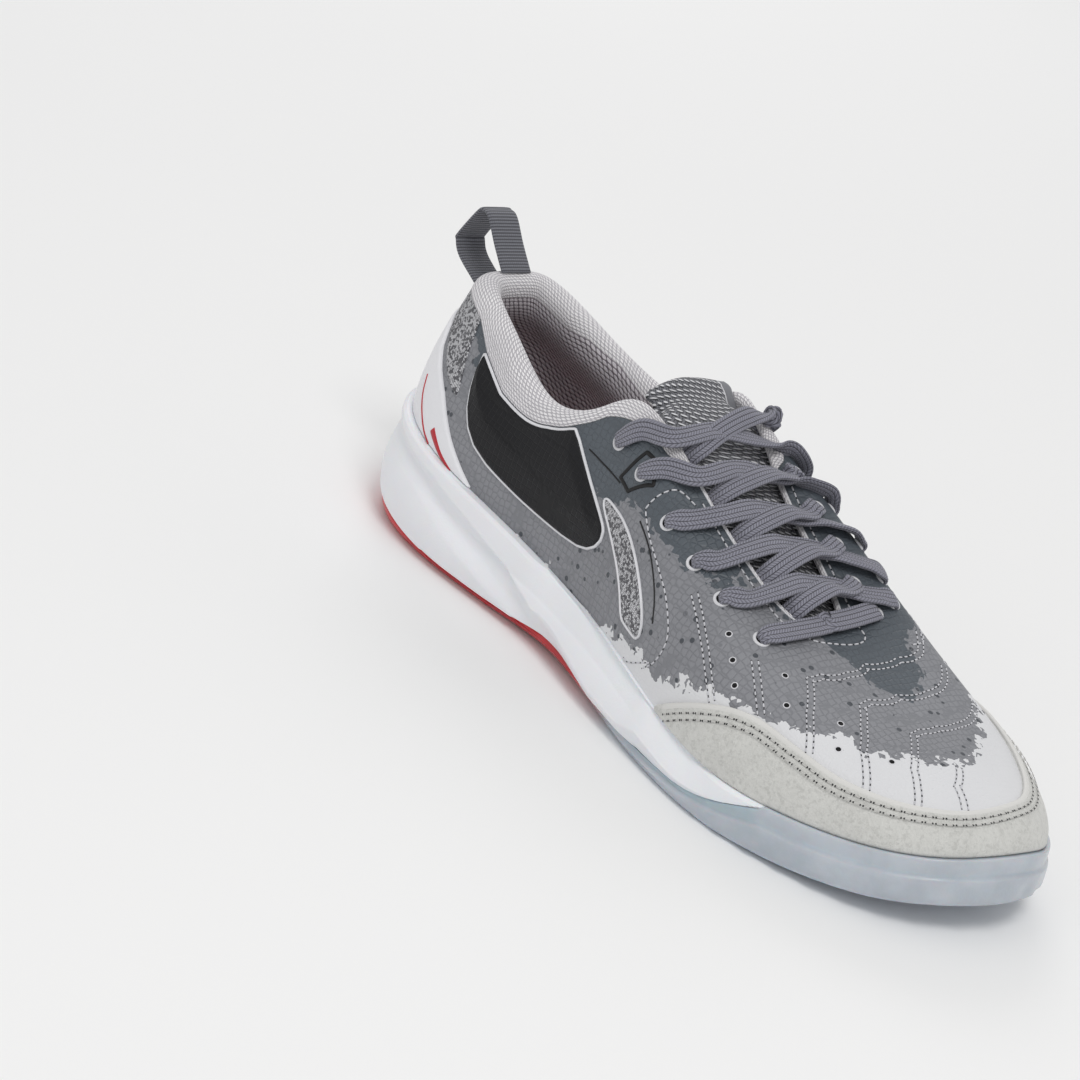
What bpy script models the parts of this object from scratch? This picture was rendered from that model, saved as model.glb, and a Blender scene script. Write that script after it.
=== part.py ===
# Indoor soccer shoe, a right shoe standing empty on its sole.
# Metres, +Z up, +X from heel to toe, -Y is the outer (lateral) side.
# The origin lies on the floor under the back of the heel.

import math

import bpy
import numpy as np

MM = 0.001

# Driving sizes
LENGTH = 0.297
BALL_WIDTH = 0.104
COLLAR_HEIGHT = 0.092
SOLE_HEIGHT = 0.036
TOE_SPRING = 0.0114
GAP = 0.00035
STATIONS = 76

# Corners of the arch window, as shares of LENGTH and BALL_WIDTH
ARCH_WINDOW = ((0.335, 0.00), (0.580, -0.20), (0.580, 0.18))

# Wall thicknesses
VAMP_WALL = 0.0018
COLLAR_WALL = 0.0085
CAP_WALL = 0.0012
COUNTER_WALL = 0.0011
INSOLE_THICKNESS = 0.0038

# Sole sizes
LUG = 0.0017
RIM_WALL = 0.0016
LIP_INSET = 0.0038
BAR_PITCH = 0.0092
# First and last tread bar under the heel and under the forefoot, as shares of LENGTH
HEEL_BARS = (0.044, 0.292)
BALL_BARS = (0.600, 0.941)
# Where the heel's bulge and the insole's cup fade out, as shares of LENGTH
BULGE_FADE = (0.505, 0.640)
CUP_FADE = (0.303, 0.539)
UPPER_INSET = 0.0042

# Sections of the sole from heel to toe.
# x is a share of LENGTH, lateral and medial are shares of BALL_WIDTH,
# feather, floor and rim are heights above the floor as shares of SOLE_HEIGHT,
# ground is the lift of the tread as a share of TOE_SPRING, where a value under
# 0 lies flat, wall_in and rim_in are insets of the midsole band and the
# outsole rim as shares of RIM_WALL.
SOLE_COLUMNS = ("x", "lateral", "medial", "feather_lateral", "feather_medial",
                "floor", "rim_lateral", "rim_medial", "ground", "wall_in", "rim_in")
SOLE_ROWS = {
    "heel_back":   (0.000, 0.000, 0.000, 1.09, 1.09, 0.66, 0.29, 0.29, 0.30, 0.00, 0.8),
    "heel_corner": (0.043, 0.245, 0.230, 1.07, 1.06, 0.65, 0.23, 0.23, 0.06, 0.00, 0.8),
    "heel":        (0.155, 0.375, 0.335, 0.97, 0.94, 0.63, 0.17, 0.17, -0.05, 0.00, 0.8),
    "ankle":       (0.286, 0.365, 0.315, 0.83, 0.83, 0.59, 0.17, 0.17, -0.03, 0.00, 0.9),
    "waist":       (0.414, 0.362, 0.280, 0.69, 0.76, 0.53, 0.22, 0.22, 0.20, 0.00, 1.0),
    "instep":      (0.522, 0.425, 0.305, 0.63, 0.67, 0.46, 0.20, 0.20, 0.12, 0.06, 0.8),
    "ball_back":   (0.630, 0.482, 0.395, 0.50, 0.55, 0.36, 0.19, 0.19, -0.04, 0.25, 0.3),
    "ball":        (0.737, 0.500, 0.490, 0.43, 0.46, 0.31, 0.22, 0.24, -0.04, 0.70, 0.0),
    "toe_back":    (0.845, 0.430, 0.490, 0.48, 0.50, 0.34, 0.55, 0.58, 0.14, 1.20, 0.0),
    "toe":         (0.929, 0.315, 0.395, 0.59, 0.58, 0.44, 0.62, 0.61, 0.47, 1.20, 0.0),
    "toe_corner":  (0.980, 0.150, 0.250, 0.70, 0.67, 0.54, 0.73, 0.70, 0.82, 1.20, 0.0),
    "toe_tip":     (1.000, -0.075, 0.075, 0.76, 0.76, 0.60, 0.79, 0.79, 1.00, 1.20, 0.0),
}

# Sections of the collar and throat edge, one for each row of the sole.
# x is a share of LENGTH, lateral and medial are shares of BALL_WIDTH,
# z_lateral and z_medial are shares of COLLAR_HEIGHT, lean and rise are the
# angles in degrees at which the last leaves the sole and meets the edge,
# low and high are the shares of the section that these angles hold,
# pad is how much of COLLAR_WALL the edge has.
EDGE_COLUMNS = ("x", "lateral", "medial", "z_lateral", "z_medial",
                "lean", "low", "rise_lateral", "rise_medial",
                "high_lateral", "high_medial", "pad")
EDGE_ROWS = {
    "heel_back":   (0.052, 0.000, 0.000, 0.935, 0.935, 0, 0.34, 74, 74, 0.36, 0.36, 1.00),
    "heel_corner": (0.070, 0.155, 0.150, 0.930, 0.932, 2, 0.34, 76, 76, 0.36, 0.36, 1.00),
    "heel":        (0.158, 0.245, 0.243, 0.852, 0.835, 5, 0.33, 84, 84, 0.35, 0.35, 0.95),
    "ankle":       (0.266, 0.285, 0.288, 0.742, 0.755, 6, 0.32, 88, 88, 0.35, 0.35, 0.85),
    "waist":       (0.350, 0.262, 0.265, 0.840, 0.850, 8, 0.34, 71, 64, 0.38, 0.46, 0.50),
    "instep":      (0.408, 0.212, 0.212, 0.962, 0.982, 8, 0.36, 47, 30, 0.40, 0.58, 0.12),
    "ball_back":   (0.515, 0.185, 0.125, 0.815, 0.845, 7, 0.37, 33, 6, 0.44, 0.60, 0.00),
    "ball":        (0.600, 0.168, 0.096, 0.683, 0.715, 6, 0.37, 25, 8, 0.47, 0.54, 0.00),
    "toe_back":    (0.654, 0.130, 0.080, 0.602, 0.628, 4, 0.32, 22, 14, 0.50, 0.50, 0.00),
    "toe":         (0.675, 0.087, 0.048, 0.583, 0.597, 0, 0.24, 21, 18, 0.50, 0.50, 0.00),
    "toe_corner":  (0.679, 0.054, 0.005, 0.580, 0.586, -2, 0.20, 20, 19, 0.51, 0.51, 0.00),
    "toe_tip":     (0.680, 0.026, -0.026, 0.580, 0.580, -4, 0.18, 20, 20, 0.52, 0.52, 0.00),
}

# Heights on the upper of the rows of its mesh, as shares from sole to edge
UPPER_ROWS = (0.0, 0.12, 0.25, 0.38, 0.50, 0.62, 0.74, 0.85, 0.94, 1.0)

# Upper edge of the toe cap, as station share and share of the section
CAP_COLUMNS = ("station", "share")
CAP_ROWS = (
    (0.300, 0.10), (0.325, 0.25), (0.350, 0.34), (0.390, 0.36), (0.430, 0.30),
    (0.470, 0.265), (0.500, 0.27), (0.530, 0.30), (0.570, 0.34), (0.610, 0.34),
    (0.645, 0.26), (0.675, 0.10))

# Upper edge of the heel counter panel, in the same way
COUNTER_ROWS = (
    (-0.075, 0.12), (-0.055, 0.40), (-0.035, 0.66), (-0.015, 0.74), (0.000, 0.75),
    (0.015, 0.74), (0.035, 0.66), (0.055, 0.40), (0.075, 0.12))

# Eyelets from the throat's top to its front, as station and section share
EYELET_COLUMNS = ("lateral_station", "lateral_share", "medial_station", "medial_share")
EYELET_ROWS = (
    (0.231, 0.850, 0.743, 0.930),
    (0.251, 0.750, 0.711, 0.930),
    (0.276, 0.685, 0.694, 0.900),
    (0.301, 0.705, 0.671, 0.890),
    (0.327, 0.725, 0.640, 0.895),
    (0.364, 0.755, 0.621, 0.850))

# Lace runs. A straight run starts at a lateral eyelet, crosses the throat's two
# edges at near_edge and far_edge, and ends low on the medial side at far_share.
# A rising run starts on the next straight run and ends at its medial eyelet.
LACE_COLUMNS = ("near_edge", "far_edge", "far_station", "far_share")
LACE_ROWS = (
    (0.2745, 0.7140, 0.742, 0.72),
    (0.2940, 0.6970, 0.722, 0.69),
    (0.3150, 0.6730, 0.699, 0.67),
    (0.3400, 0.6485, 0.674, 0.68),
    (0.3750, 0.6130, 0.650, 0.72))
LACE_WIDTH = 0.0072
LACE_THICKNESS = 0.0020
LACE_LIFT = 0.0008

# Places of the tongue's rows along the throat, as shares of LENGTH
TONGUE_ROWS = (0.673, 0.648, 0.618, 0.585, 0.550, 0.515, 0.482, 0.450, 0.424)
TONGUE_WING = 0.0085
TONGUE_THICKNESS = 0.0036
TONGUE_CROWN = 0.07
THROAT_MIDDLE = -0.03
TONGUE_SINK = 0.0017

# Free top of the tongue, as shares of LENGTH, COLLAR_HEIGHT and BALL_WIDTH:
# x and z on the middle line, half width, and fall of the edge
TONGUE_TOP_COLUMNS = ("x", "z", "half", "drop")
TONGUE_TOP = (
    (0.394, 0.990, 0.160, 0.050),
    (0.380, 1.020, 0.168, 0.050),
    (0.375, 1.034, 0.145, 0.040))
TONGUE_TOP_SHIFT = 0.020

# Pull loop, its middle line from the heel's back over the top to the collar,
# as shares of LENGTH forward and of COLLAR_HEIGHT up
LOOP_COLUMNS = ("x", "z")
LOOP_ROWS = (
    (-0.006, 0.935), (-0.020, 0.985), (-0.020, 1.010), (0.003, 1.135),
    (0.012, 1.148), (0.024, 1.135), (0.046, 1.060))
LOOP_SEAM = (0.79, 0.86)
LOOP_WIDTH = 0.0130
LOOP_THICKNESS = 0.0014


def column(rows, columns, name):
    """one named column of a table, in mm or shares as the table says"""
    place = columns.index(name)
    return np.array([row[place] for row in rows], float)


def loop(lateral, medial):
    """values round the shoe: heel back, lateral side, toe, medial side"""
    return np.array(list(lateral) + list(medial[-2:0:-1]), float)


def periodic(knots, values, at):
    """closed cubic spline through values at knots, with the loop's length last"""
    count = len(values)
    steps = np.diff(knots)
    system = np.zeros((count, count))
    right = np.zeros((count,) + values.shape[1:])
    for i in range(count):
        before = steps[i - 1]
        after = steps[i]
        system[i, (i - 1) % count] += before
        system[i, i] += 2 * (before + after)
        system[i, (i + 1) % count] += after
        right[i] = 6 * ((values[(i + 1) % count] - values[i]) / after
                        - (values[i] - values[i - 1]) / before)
    bend = np.linalg.solve(system, right)
    at = np.asarray(at, float) % 1.0
    j = np.clip(np.searchsorted(knots, at, side="right") - 1, 0, count - 1)
    step = steps[j]
    a = (knots[j + 1] - at) / step
    b = (at - knots[j]) / step
    if values.ndim > 1:
        a = a[:, None]
        b = b[:, None]
        step = step[:, None]
    k = (j + 1) % count
    curve = (a ** 3 - a) * bend[j] + (b ** 3 - b) * bend[k]
    return a * values[j] + b * values[k] + curve * step ** 2 / 6


def smooth(value, low, high):
    """0 below low, 1 above high, and an even S between them"""
    t = np.clip((np.asarray(value, float) - low) / (high - low), 0, 1)
    return t * t * (3 - 2 * t)


SOLE = {name: column(SOLE_ROWS.values(), SOLE_COLUMNS, name) for name in SOLE_COLUMNS}
EDGE = {name: column(EDGE_ROWS.values(), EDGE_COLUMNS, name) for name in EDGE_COLUMNS}

OUTLINE = np.column_stack([
    loop(SOLE["x"], SOLE["x"]) * LENGTH,
    loop(-SOLE["lateral"], SOLE["medial"]) * BALL_WIDTH])


def station_knots():
    """the share of the way round the sole at which each row stands"""
    x = SOLE["x"] * LENGTH
    lateral = np.hypot(np.diff(x), np.diff(SOLE["lateral"] * BALL_WIDTH))
    medial = np.hypot(np.diff(x), np.diff(SOLE["medial"] * BALL_WIDTH))
    steps = (lateral + medial) / 2
    half = np.concatenate([[0], np.cumsum(steps)]) / steps.sum() / 2
    return np.concatenate([half, 1 - half[-2::-1]])


KNOTS = station_knots()
EDGE_LOOP = np.column_stack([
    loop(EDGE["x"], EDGE["x"]) * LENGTH,
    loop(-EDGE["lateral"], EDGE["medial"]) * BALL_WIDTH,
    loop(EDGE["z_lateral"], EDGE["z_medial"]) * COLLAR_HEIGHT])


def sole_value(name, u):
    """a column of the sole's table at stations u, the same on both sides"""
    return periodic(KNOTS, loop(SOLE[name], SOLE[name]), u)


def sole_height(name, u):
    """a column with a lateral and a medial side, in metres"""
    both = loop(SOLE[name + "_lateral"], SOLE[name + "_medial"])
    return periodic(KNOTS, both, u) * SOLE_HEIGHT


def edge_value(name, u):
    """a column of the edge's table at stations u"""
    return periodic(KNOTS, loop(EDGE[name], EDGE[name]), u)


def ground(x):
    """lift of the tread at x: flat under heel and ball, bevel, arch, toe spring"""
    rows = SOLE["x"] * LENGTH
    reach = 0.03 * LENGTH
    lift = np.interp(x, rows, SOLE["ground"])
    near = [np.interp(np.asarray(x) + d * reach, rows, SOLE["ground"]) for d in (-1, -0.5, 0.5, 1)]
    return np.maximum(0, (lift * 2 + sum(near)) / 6) * TOE_SPRING


def outline(u, inset=0.0):
    """sole outline at stations u, moved inwards by inset"""
    point = periodic(KNOTS, OUTLINE, u)
    step = periodic(KNOTS, OUTLINE, np.asarray(u) + 2e-4) - periodic(
        KNOTS, OUTLINE, np.asarray(u) - 2e-4)
    out = np.column_stack([step[:, 1], -step[:, 0]])
    out /= np.linalg.norm(out, axis=1)[:, None]
    return point - out * np.asarray(inset * np.ones(len(point)))[:, None]


def last(u, share):
    """outer face of the upper at stations u and section shares, share 0 on the sole"""
    foot = outline(u, UPPER_INSET)
    foot_z = sole_height("feather", u)
    edge = periodic(KNOTS, EDGE_LOOP, u)
    across = foot - edge[:, :2]
    reach = np.linalg.norm(across, axis=1)
    across /= reach[:, None]
    size = np.hypot(reach, edge[:, 2] - foot_z)
    lean = np.radians(edge_value("lean", u))
    rise = np.radians(periodic(KNOTS, loop(EDGE["rise_lateral"], EDGE["rise_medial"]), u))
    low = edge_value("low", u) * size
    high = periodic(KNOTS, loop(EDGE["high_lateral"], EDGE["high_medial"]), u) * size
    t = np.asarray(share, float)
    if t.ndim == 1:
        t = t[None, :]
    hold_r = (reach[:, None] * (1 - t) ** 3
              + 3 * (1 - t) ** 2 * t * (reach + low * np.sin(lean))[:, None]
              + 3 * (1 - t) * t ** 2 * (high * np.cos(rise))[:, None])
    hold_z = (foot_z[:, None] * (1 - t) ** 3
              + 3 * (1 - t) ** 2 * t * (foot_z + low * np.cos(lean))[:, None]
              + 3 * (1 - t) * t ** 2 * (edge[:, 2] - high * np.sin(rise))[:, None]
              + t ** 3 * edge[:, 2][:, None])
    plan = edge[:, None, :2] + across[:, None, :] * hold_r[..., None]
    return np.concatenate([plan, hold_z[..., None]], -1)


def last_normal(u, share):
    """outward unit normals of the upper's outer face"""
    t = np.asarray(share, float) * np.ones((len(u), 1))
    around = last(np.asarray(u) + 1e-3, t) - last(np.asarray(u) - 1e-3, t)
    along = last(u, np.minimum(t + 1e-3, 1)) - last(u, np.minimum(t + 1e-3, 1) - 2e-3)
    normal = np.cross(around, along)
    return normal / np.linalg.norm(normal, axis=-1)[..., None]


def off_last(u, share, height):
    """points at a height above the upper's outer face, negative inside it"""
    t = np.asarray(share, float) * np.ones((len(u), 1))
    return last(u, t) + last_normal(u, t) * np.asarray(height)[..., None]


def wall(u, share):
    """thickness of the upper: thin vamp, lined heel, padded collar"""
    pad = edge_value("pad", u)[:, None]
    share = np.asarray(share, float)[None, :]
    swell = smooth(share, 0.45, 0.92) * np.clip(pad, 0, 1)
    lining = 0.0010 * smooth(pad, 0.3, 0.9)
    return VAMP_WALL + lining * smooth(share, 0.0, 0.3) + (COLLAR_WALL - VAMP_WALL) * swell


MATERIALS = {
    "ice_rubber": ((0.53, 0.62, 0.72), 0.35),
    "white_foam": ((0.86, 0.87, 0.89), 0.55),
    "grey_upper": ((0.22, 0.24, 0.26), 0.60),
    "pale_suede": ((0.62, 0.62, 0.59), 0.95),
    "white_panel": ((0.80, 0.80, 0.81), 0.50),
    "grey_mesh": ((0.20, 0.20, 0.22), 0.90),
    "red_foam": ((0.55, 0.06, 0.08), 0.85),
    "grey_lace": ((0.12, 0.12, 0.15), 0.90),
    "grey_webbing": ((0.16, 0.16, 0.18), 0.90),
}


def clear_scene():
    for item in list(bpy.data.objects):
        bpy.data.objects.remove(item, do_unlink=True)


def material(name):
    colour, roughness = MATERIALS[name]
    found = bpy.data.materials.new(name)
    found.use_nodes = True
    shader = found.node_tree.nodes["Principled BSDF"]
    shader.inputs["Base Color"].default_value = colour + (1.0,)
    shader.inputs["Roughness"].default_value = roughness
    shader.inputs["Metallic"].default_value = 0.0
    return found


def add_object(name, points, faces, surface):
    mesh = bpy.data.meshes.new(name)
    mesh.from_pydata([tuple(p) for p in np.asarray(points, float)], [], faces)
    mesh.update()
    mesh.shade_smooth()
    mesh.set_sharp_from_angle(angle=math.radians(38))
    item = bpy.data.objects.new(name, mesh)
    bpy.context.scene.collection.objects.link(item)
    if surface:
        mesh.materials.append(material(surface))
    return item


def add_cutter(name, points, faces, target, operation="DIFFERENCE"):
    """a hidden tool mesh and the modifier that applies it to its target"""
    tool = add_object(name, points, faces, None)
    tool.hide_render = True
    tool.hide_viewport = True
    tool.display_type = "WIRE"
    cut = target.modifiers.new(name, "BOOLEAN")
    cut.operation = operation
    cut.solver = "EXACT"
    cut.object = tool
    return tool


def ring_faces(rings, stations, closed):
    """quads between rings of points that follow each other outwards and up"""
    faces = []
    for j in range(rings if closed else rings - 1):
        k = (j + 1) % rings
        for i in range(stations):
            n = (i + 1) % stations
            faces.append((j * stations + i, j * stations + n,
                          k * stations + n, k * stations + i))
    return faces


def ladder(start, stations, up):
    """a floor across one ring, with rungs from the lateral to the medial side"""
    half = stations // 2
    faces = [(0, 1, stations - 1)]
    for i in range(1, half - 1):
        faces.append((i, i + 1, stations - i - 1, stations - i))
    faces.append((half - 1, half, half + 1))
    if not up:
        faces = [face[::-1] for face in faces]
    return [tuple(start + k for k in face) for face in faces]


def slab(outer, inner, closed=False):
    """solid between an outer and an inner grid, rows along, points across"""
    rows, across = outer.shape[:2]
    faces = []
    turn = rows * across
    for r in range(rows - 1):
        for c in range(across if closed else across - 1):
            d = (c + 1) % across
            a, b = r * across + c, r * across + d
            e, f = (r + 1) * across + d, (r + 1) * across + c
            faces.append((a, b, e, f))
            faces.append((turn + f, turn + e, turn + b, turn + a))
    for c in range(across if closed else across - 1):
        d = (c + 1) % across
        faces.append((turn + c, turn + d, d, c))
        top = (rows - 1) * across
        faces.append((top + c, top + d, turn + top + d, turn + top + c))
    if not closed:
        for r in range(rows - 1):
            a, b = r * across, (r + 1) * across
            faces.append((turn + a, a, b, turn + b))
            a, b = a + across - 1, b + across - 1
            faces.append((a, turn + a, turn + b, b))
    points = np.concatenate([outer.reshape(-1, 3), inner.reshape(-1, 3)])
    return points, faces


def ring(u, inset, height):
    return np.column_stack([outline(u, inset), height * np.ones(len(u))])


def all_stations():
    return np.arange(STATIONS) / STATIONS


def sole_frame():
    """what outsole and midsole share at every station, in metres"""
    u = all_stations()
    rim = sole_height("rim", u)
    feather = sole_height("feather", u)
    covered = rim > feather - 0.0006
    spread = [covered[(np.arange(STATIONS) + k) % STATIONS] for k in (-2, -1, 0, 1, 2)]
    frame = {
        "u": u,
        "lift": ground(outline(u)[:, 0]),
        "feather": feather,
        "rim": np.where(covered, feather + 0.0004, rim),
        "floor": sole_value("floor", u) * SOLE_HEIGHT,
        "rim_in": np.maximum(sole_value("rim_in", u), 0) * RIM_WALL,
        "wall_in": np.maximum(sole_value("wall_in", u), 0) * RIM_WALL,
        "near_tip": np.any(spread, axis=0),
        "lip_low": np.any(spread[1:4], axis=0),
        "flange": covered,
    }
    return frame


def build_outsole():
    f = sole_frame()
    u = f["u"]
    base = ground(outline(u)[:, 0]) + LUG
    wide = f["rim_in"]
    rim = f["rim"]
    step = base + 0.45 * (rim - base)
    flange = np.where(f["flange"], LIP_INSET, wide + RIM_WALL + 0.00002)
    under = np.where(f["flange"], rim - 0.0022, rim - 0.0004)
    tray = base + 0.0021
    rings = [
        ring(u, wide + 0.0024, base),
        ring(u, wide + 0.0007, base + 0.0009),
        ring(u, wide, step - 0.0003),
        ring(u, wide + 0.0006, step + 0.0003),
        ring(u, wide + 0.0003, rim - 0.0004),
        ring(u, wide + 0.0007, rim),
        ring(u, flange - 0.0002 * f["flange"], rim - 0.00004),
        ring(u, flange, under + 0.0001 * f["flange"]),
        ring(u, wide + RIM_WALL, np.minimum(under, rim - 0.0006)),
        ring(u, wide + RIM_WALL + 0.0004, tray),
    ]
    points = np.concatenate(rings)
    faces = ring_faces(len(rings), STATIONS, False)
    faces += ladder(0, STATIONS, False)
    faces += ladder((len(rings) - 1) * STATIONS, STATIONS, True)
    sole = add_object("outsole", points, faces, "ice_rubber")
    add_lugs(sole)
    window = [(x * LENGTH, y * BALL_WIDTH) for x, y in ARCH_WINDOW]
    points = [(x, y, z) for z in (-0.01, 0.03) for x, y in window]
    faces = [(2, 1, 0), (3, 4, 5), (0, 1, 4, 3), (1, 2, 5, 4), (2, 0, 3, 5)]
    add_cutter("arch_window", points, faces, sole)
    return sole


def half_widths(x):
    """the sole's lateral and medial edge at a height line x"""
    u = np.linspace(0, 0.5, 200)
    lateral = outline(u)
    medial = outline(1 - u)
    return (np.interp(x, lateral[:, 0], lateral[:, 1]),
            np.interp(x, medial[:, 0], medial[:, 1]))


def add_lugs(sole):
    """herringbone bars under the heel and the forefoot, joined to the base"""
    points = []
    faces = []
    bars = []
    for first, final in (HEEL_BARS, BALL_BARS):
        count = int((final - first) * LENGTH / BAR_PITCH) + 1
        bars += [first * LENGTH + BAR_PITCH * k for k in range(count)]
    for middle in bars:
        lateral, medial = half_widths(middle)
        margin = 0.0050 if middle < 0.90 * LENGTH else 0.0085
        folds = 5
        ys = np.linspace(lateral + margin, medial - margin, folds)
        xs = middle + np.where(np.arange(folds) % 2 == 0, -0.0022, 0.0022)
        xs = xs + 0.004 * ((ys - ys.mean()) / (ys[-1] - ys.mean())) ** 2 * (
            -1 if middle > LENGTH / 2 else 1)
        start = len(points)
        for x, y in zip(xs, ys):
            for dx in (-0.0019, 0.0019):
                level = float(ground(x + dx))
                points.append((x + dx * 0.8, y, level))
                points.append((x + dx, y, level + LUG + 0.0009))
        for k in range(folds - 1):
            a = start + 4 * k
            b = a + 4
            faces.append((a, b, b + 2, a + 2)[::-1])
            faces.append((a + 1, a + 3, b + 3, b + 1)[::-1])
            faces.append((a, a + 1, b + 1, b)[::-1])
            faces.append((a + 2, b + 2, b + 3, a + 3)[::-1])
        end = start + 4 * (folds - 1)
        faces.append((start, start + 2, start + 3, start + 1)[::-1])
        faces.append((end, end + 1, end + 3, end + 2)[::-1])
    add_cutter("tread_bars", points, faces, sole, "UNION")


def build_midsole():
    f = sole_frame()
    u = f["u"]
    base = ground(outline(u)[:, 0]) + LUG
    bottom = base + 0.0021 + GAP
    inner = f["rim_in"] + RIM_WALL + 0.0004 + GAP
    covered = f["flange"]
    near = f["near_tip"]
    top = np.where(f["lip_low"], f["feather"] - 0.0030, f["feather"])
    ledge = np.where(covered, top - 0.0026, np.minimum(f["rim"] + GAP, top - 0.0016))
    wide = np.where(near, inner, f["wall_in"])
    along = outline(u)[:, 0] / LENGTH
    bulge = np.where(near, 0, 0.0012 * (1 - smooth(along, *BULGE_FADE)))
    crease = ledge + 0.42 * (top - ledge)
    lip = np.minimum(LIP_INSET, LIP_INSET + 0 * u)
    outer_lip = np.minimum(np.where(near, inner + 0.0002, wide + 0.0011), lip - 0.0003)
    floor = np.minimum(f["floor"], top - 0.0012)
    rings = [
        ring(u, inner + 0.0004, bottom),
        ring(u, inner, ledge - 0.00006),
        ring(u, np.where(near, inner, wide + 0.0006), ledge),
        ring(u, wide - bulge * 0.6, ledge + 0.25 * (crease - ledge)),
        ring(u, wide - bulge, crease),
        ring(u, wide + 0.0006 * (bulge > 0), crease + 0.30 * (top - crease)),
        ring(u, outer_lip - 0.0001, top - 0.0003),
        ring(u, outer_lip + 0.0001, top),
        ring(u, lip, top - 0.0001),
        ring(u, lip + 0.00005, floor),
    ]
    points = np.concatenate(rings)
    faces = ring_faces(len(rings), STATIONS, False)
    faces += ladder(0, STATIONS, False)
    faces += ladder((len(rings) - 1) * STATIONS, STATIONS, True)
    return add_object("midsole", points, faces, "white_foam")


def foot_floor(u):
    """height of the midsole's floor at each station"""
    f = sole_frame()
    floor = np.where(f["lip_low"], np.minimum(f["floor"], f["feather"] - 0.0042),
                     np.minimum(f["floor"], f["feather"] - 0.0012))
    return np.interp(np.asarray(u) % 1.0, np.append(f["u"], 1.0), np.append(floor, floor[0]))


def build_upper():
    u = all_stations()
    shares = np.array(UPPER_ROWS)
    outer = last(u, shares)
    thick = wall(u, shares)
    inner = off_last(u, shares, -thick)
    floor = foot_floor(u) + GAP
    foot = outline(u, UPPER_INSET)
    in_foot = outline(u, UPPER_INSET + VAMP_WALL)
    inner[:, 0, :2] = in_foot
    inner[:, 0, 2] = outer[:, 0, 2]
    rings = [np.column_stack([foot, floor])]
    rings += [outer[:, k] for k in range(len(shares))]
    top_out = outer[:, -1]
    top_in = inner[:, -1]
    ahead = outer[:, -1] - outer[:, -2]
    ahead /= np.linalg.norm(ahead, axis=1)[:, None]
    size = np.linalg.norm(top_out - top_in, axis=1)[:, None]
    for share, rise in ((0.18, 0.34), (0.5, 0.50), (0.82, 0.34)):
        rings.append(top_out + (top_in - top_out) * share + ahead * size * rise)
    rings += [inner[:, k] for k in (9, 8, 6, 4, 2, 0)]
    rings.append(np.column_stack([in_foot, floor]))
    points = np.concatenate(rings)
    faces = ring_faces(len(rings), STATIONS, True)
    upper = add_object("upper", points, faces, "grey_upper")
    punch_eyelets(upper)
    return upper


def eyelet_frames():
    """centre on the outer face and outward normal of each eyelet"""
    frames = []
    for row in EYELET_ROWS:
        for k in (0, 2):
            u = np.array([row[k]])
            share = np.array([[row[k + 1]]])
            frames.append((last(u, share)[0, 0], last_normal(u, share)[0, 0]))
    return frames


def punch_eyelets(upper):
    """round holes, as ten-sided pins that pass through the eyestay"""
    sides = 10
    radius = 0.0019
    points = []
    faces = []
    for centre, normal in eyelet_frames():
        side = np.cross(normal, (1, 0, 0))
        side /= np.linalg.norm(side)
        other = np.cross(normal, side)
        start = len(points)
        for depth in (-0.0045, 0.004):
            for k in range(sides):
                a = 2 * math.pi * k / sides
                offset = math.cos(a) * side + math.sin(a) * other
                points.append(tuple(centre + normal * depth + offset * radius))
        for k in range(sides):
            n = (k + 1) % sides
            faces.append((start + k, start + n, start + sides + n, start + sides + k))
        faces.append(tuple(start + k for k in range(sides))[::-1])
        faces.append(tuple(start + sides + k for k in range(sides)))
    add_cutter("eyelet_pins", points, faces, upper)


def patch(rows, name, surface, thickness, foot_share):
    """an overlay on the upper between the sole and a line of station and share"""
    ends = np.array(rows)
    whole = np.arange(math.ceil(ends[0, 0] * STATIONS), math.floor(ends[-1, 0] * STATIONS) + 1)
    u = whole / STATIONS
    top = np.interp(u, ends[:, 0], ends[:, 1])
    count = 6
    t = foot_share + (top - foot_share)[:, None] * np.linspace(0, 1, count)[None, :]
    inner = off_last(u, t, np.full(t.shape, GAP + 0.0001))
    outer = off_last(u, t, np.full(t.shape, GAP + 0.0001 + thickness))
    outer = np.swapaxes(outer, 0, 1)
    inner = np.swapaxes(inner, 0, 1)
    points, faces = slab(outer, inner)
    return add_object(name, points, faces, surface)


def build_insole():
    u = all_stations()
    floor = foot_floor(u) + 0.0004
    edge = UPPER_INSET + VAMP_WALL + 0.0006
    cup = 0.004 * (1 - smooth(outline(u)[:, 0] / LENGTH, *CUP_FADE)) + 0.0004
    rings = [
        ring(u, edge + 0.0004, floor),
        ring(u, edge, floor + INSOLE_THICKNESS * 0.5),
        ring(u, edge + 0.0006, floor + INSOLE_THICKNESS + cup),
        ring(u, edge + 0.0090, floor + INSOLE_THICKNESS),
    ]
    points = np.concatenate(rings)
    faces = ring_faces(len(rings), STATIONS, False)
    faces += ladder(0, STATIONS, False)
    faces += ladder(3 * STATIONS, STATIONS, True)
    return add_object("insole", points, faces, "red_foam")


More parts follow.
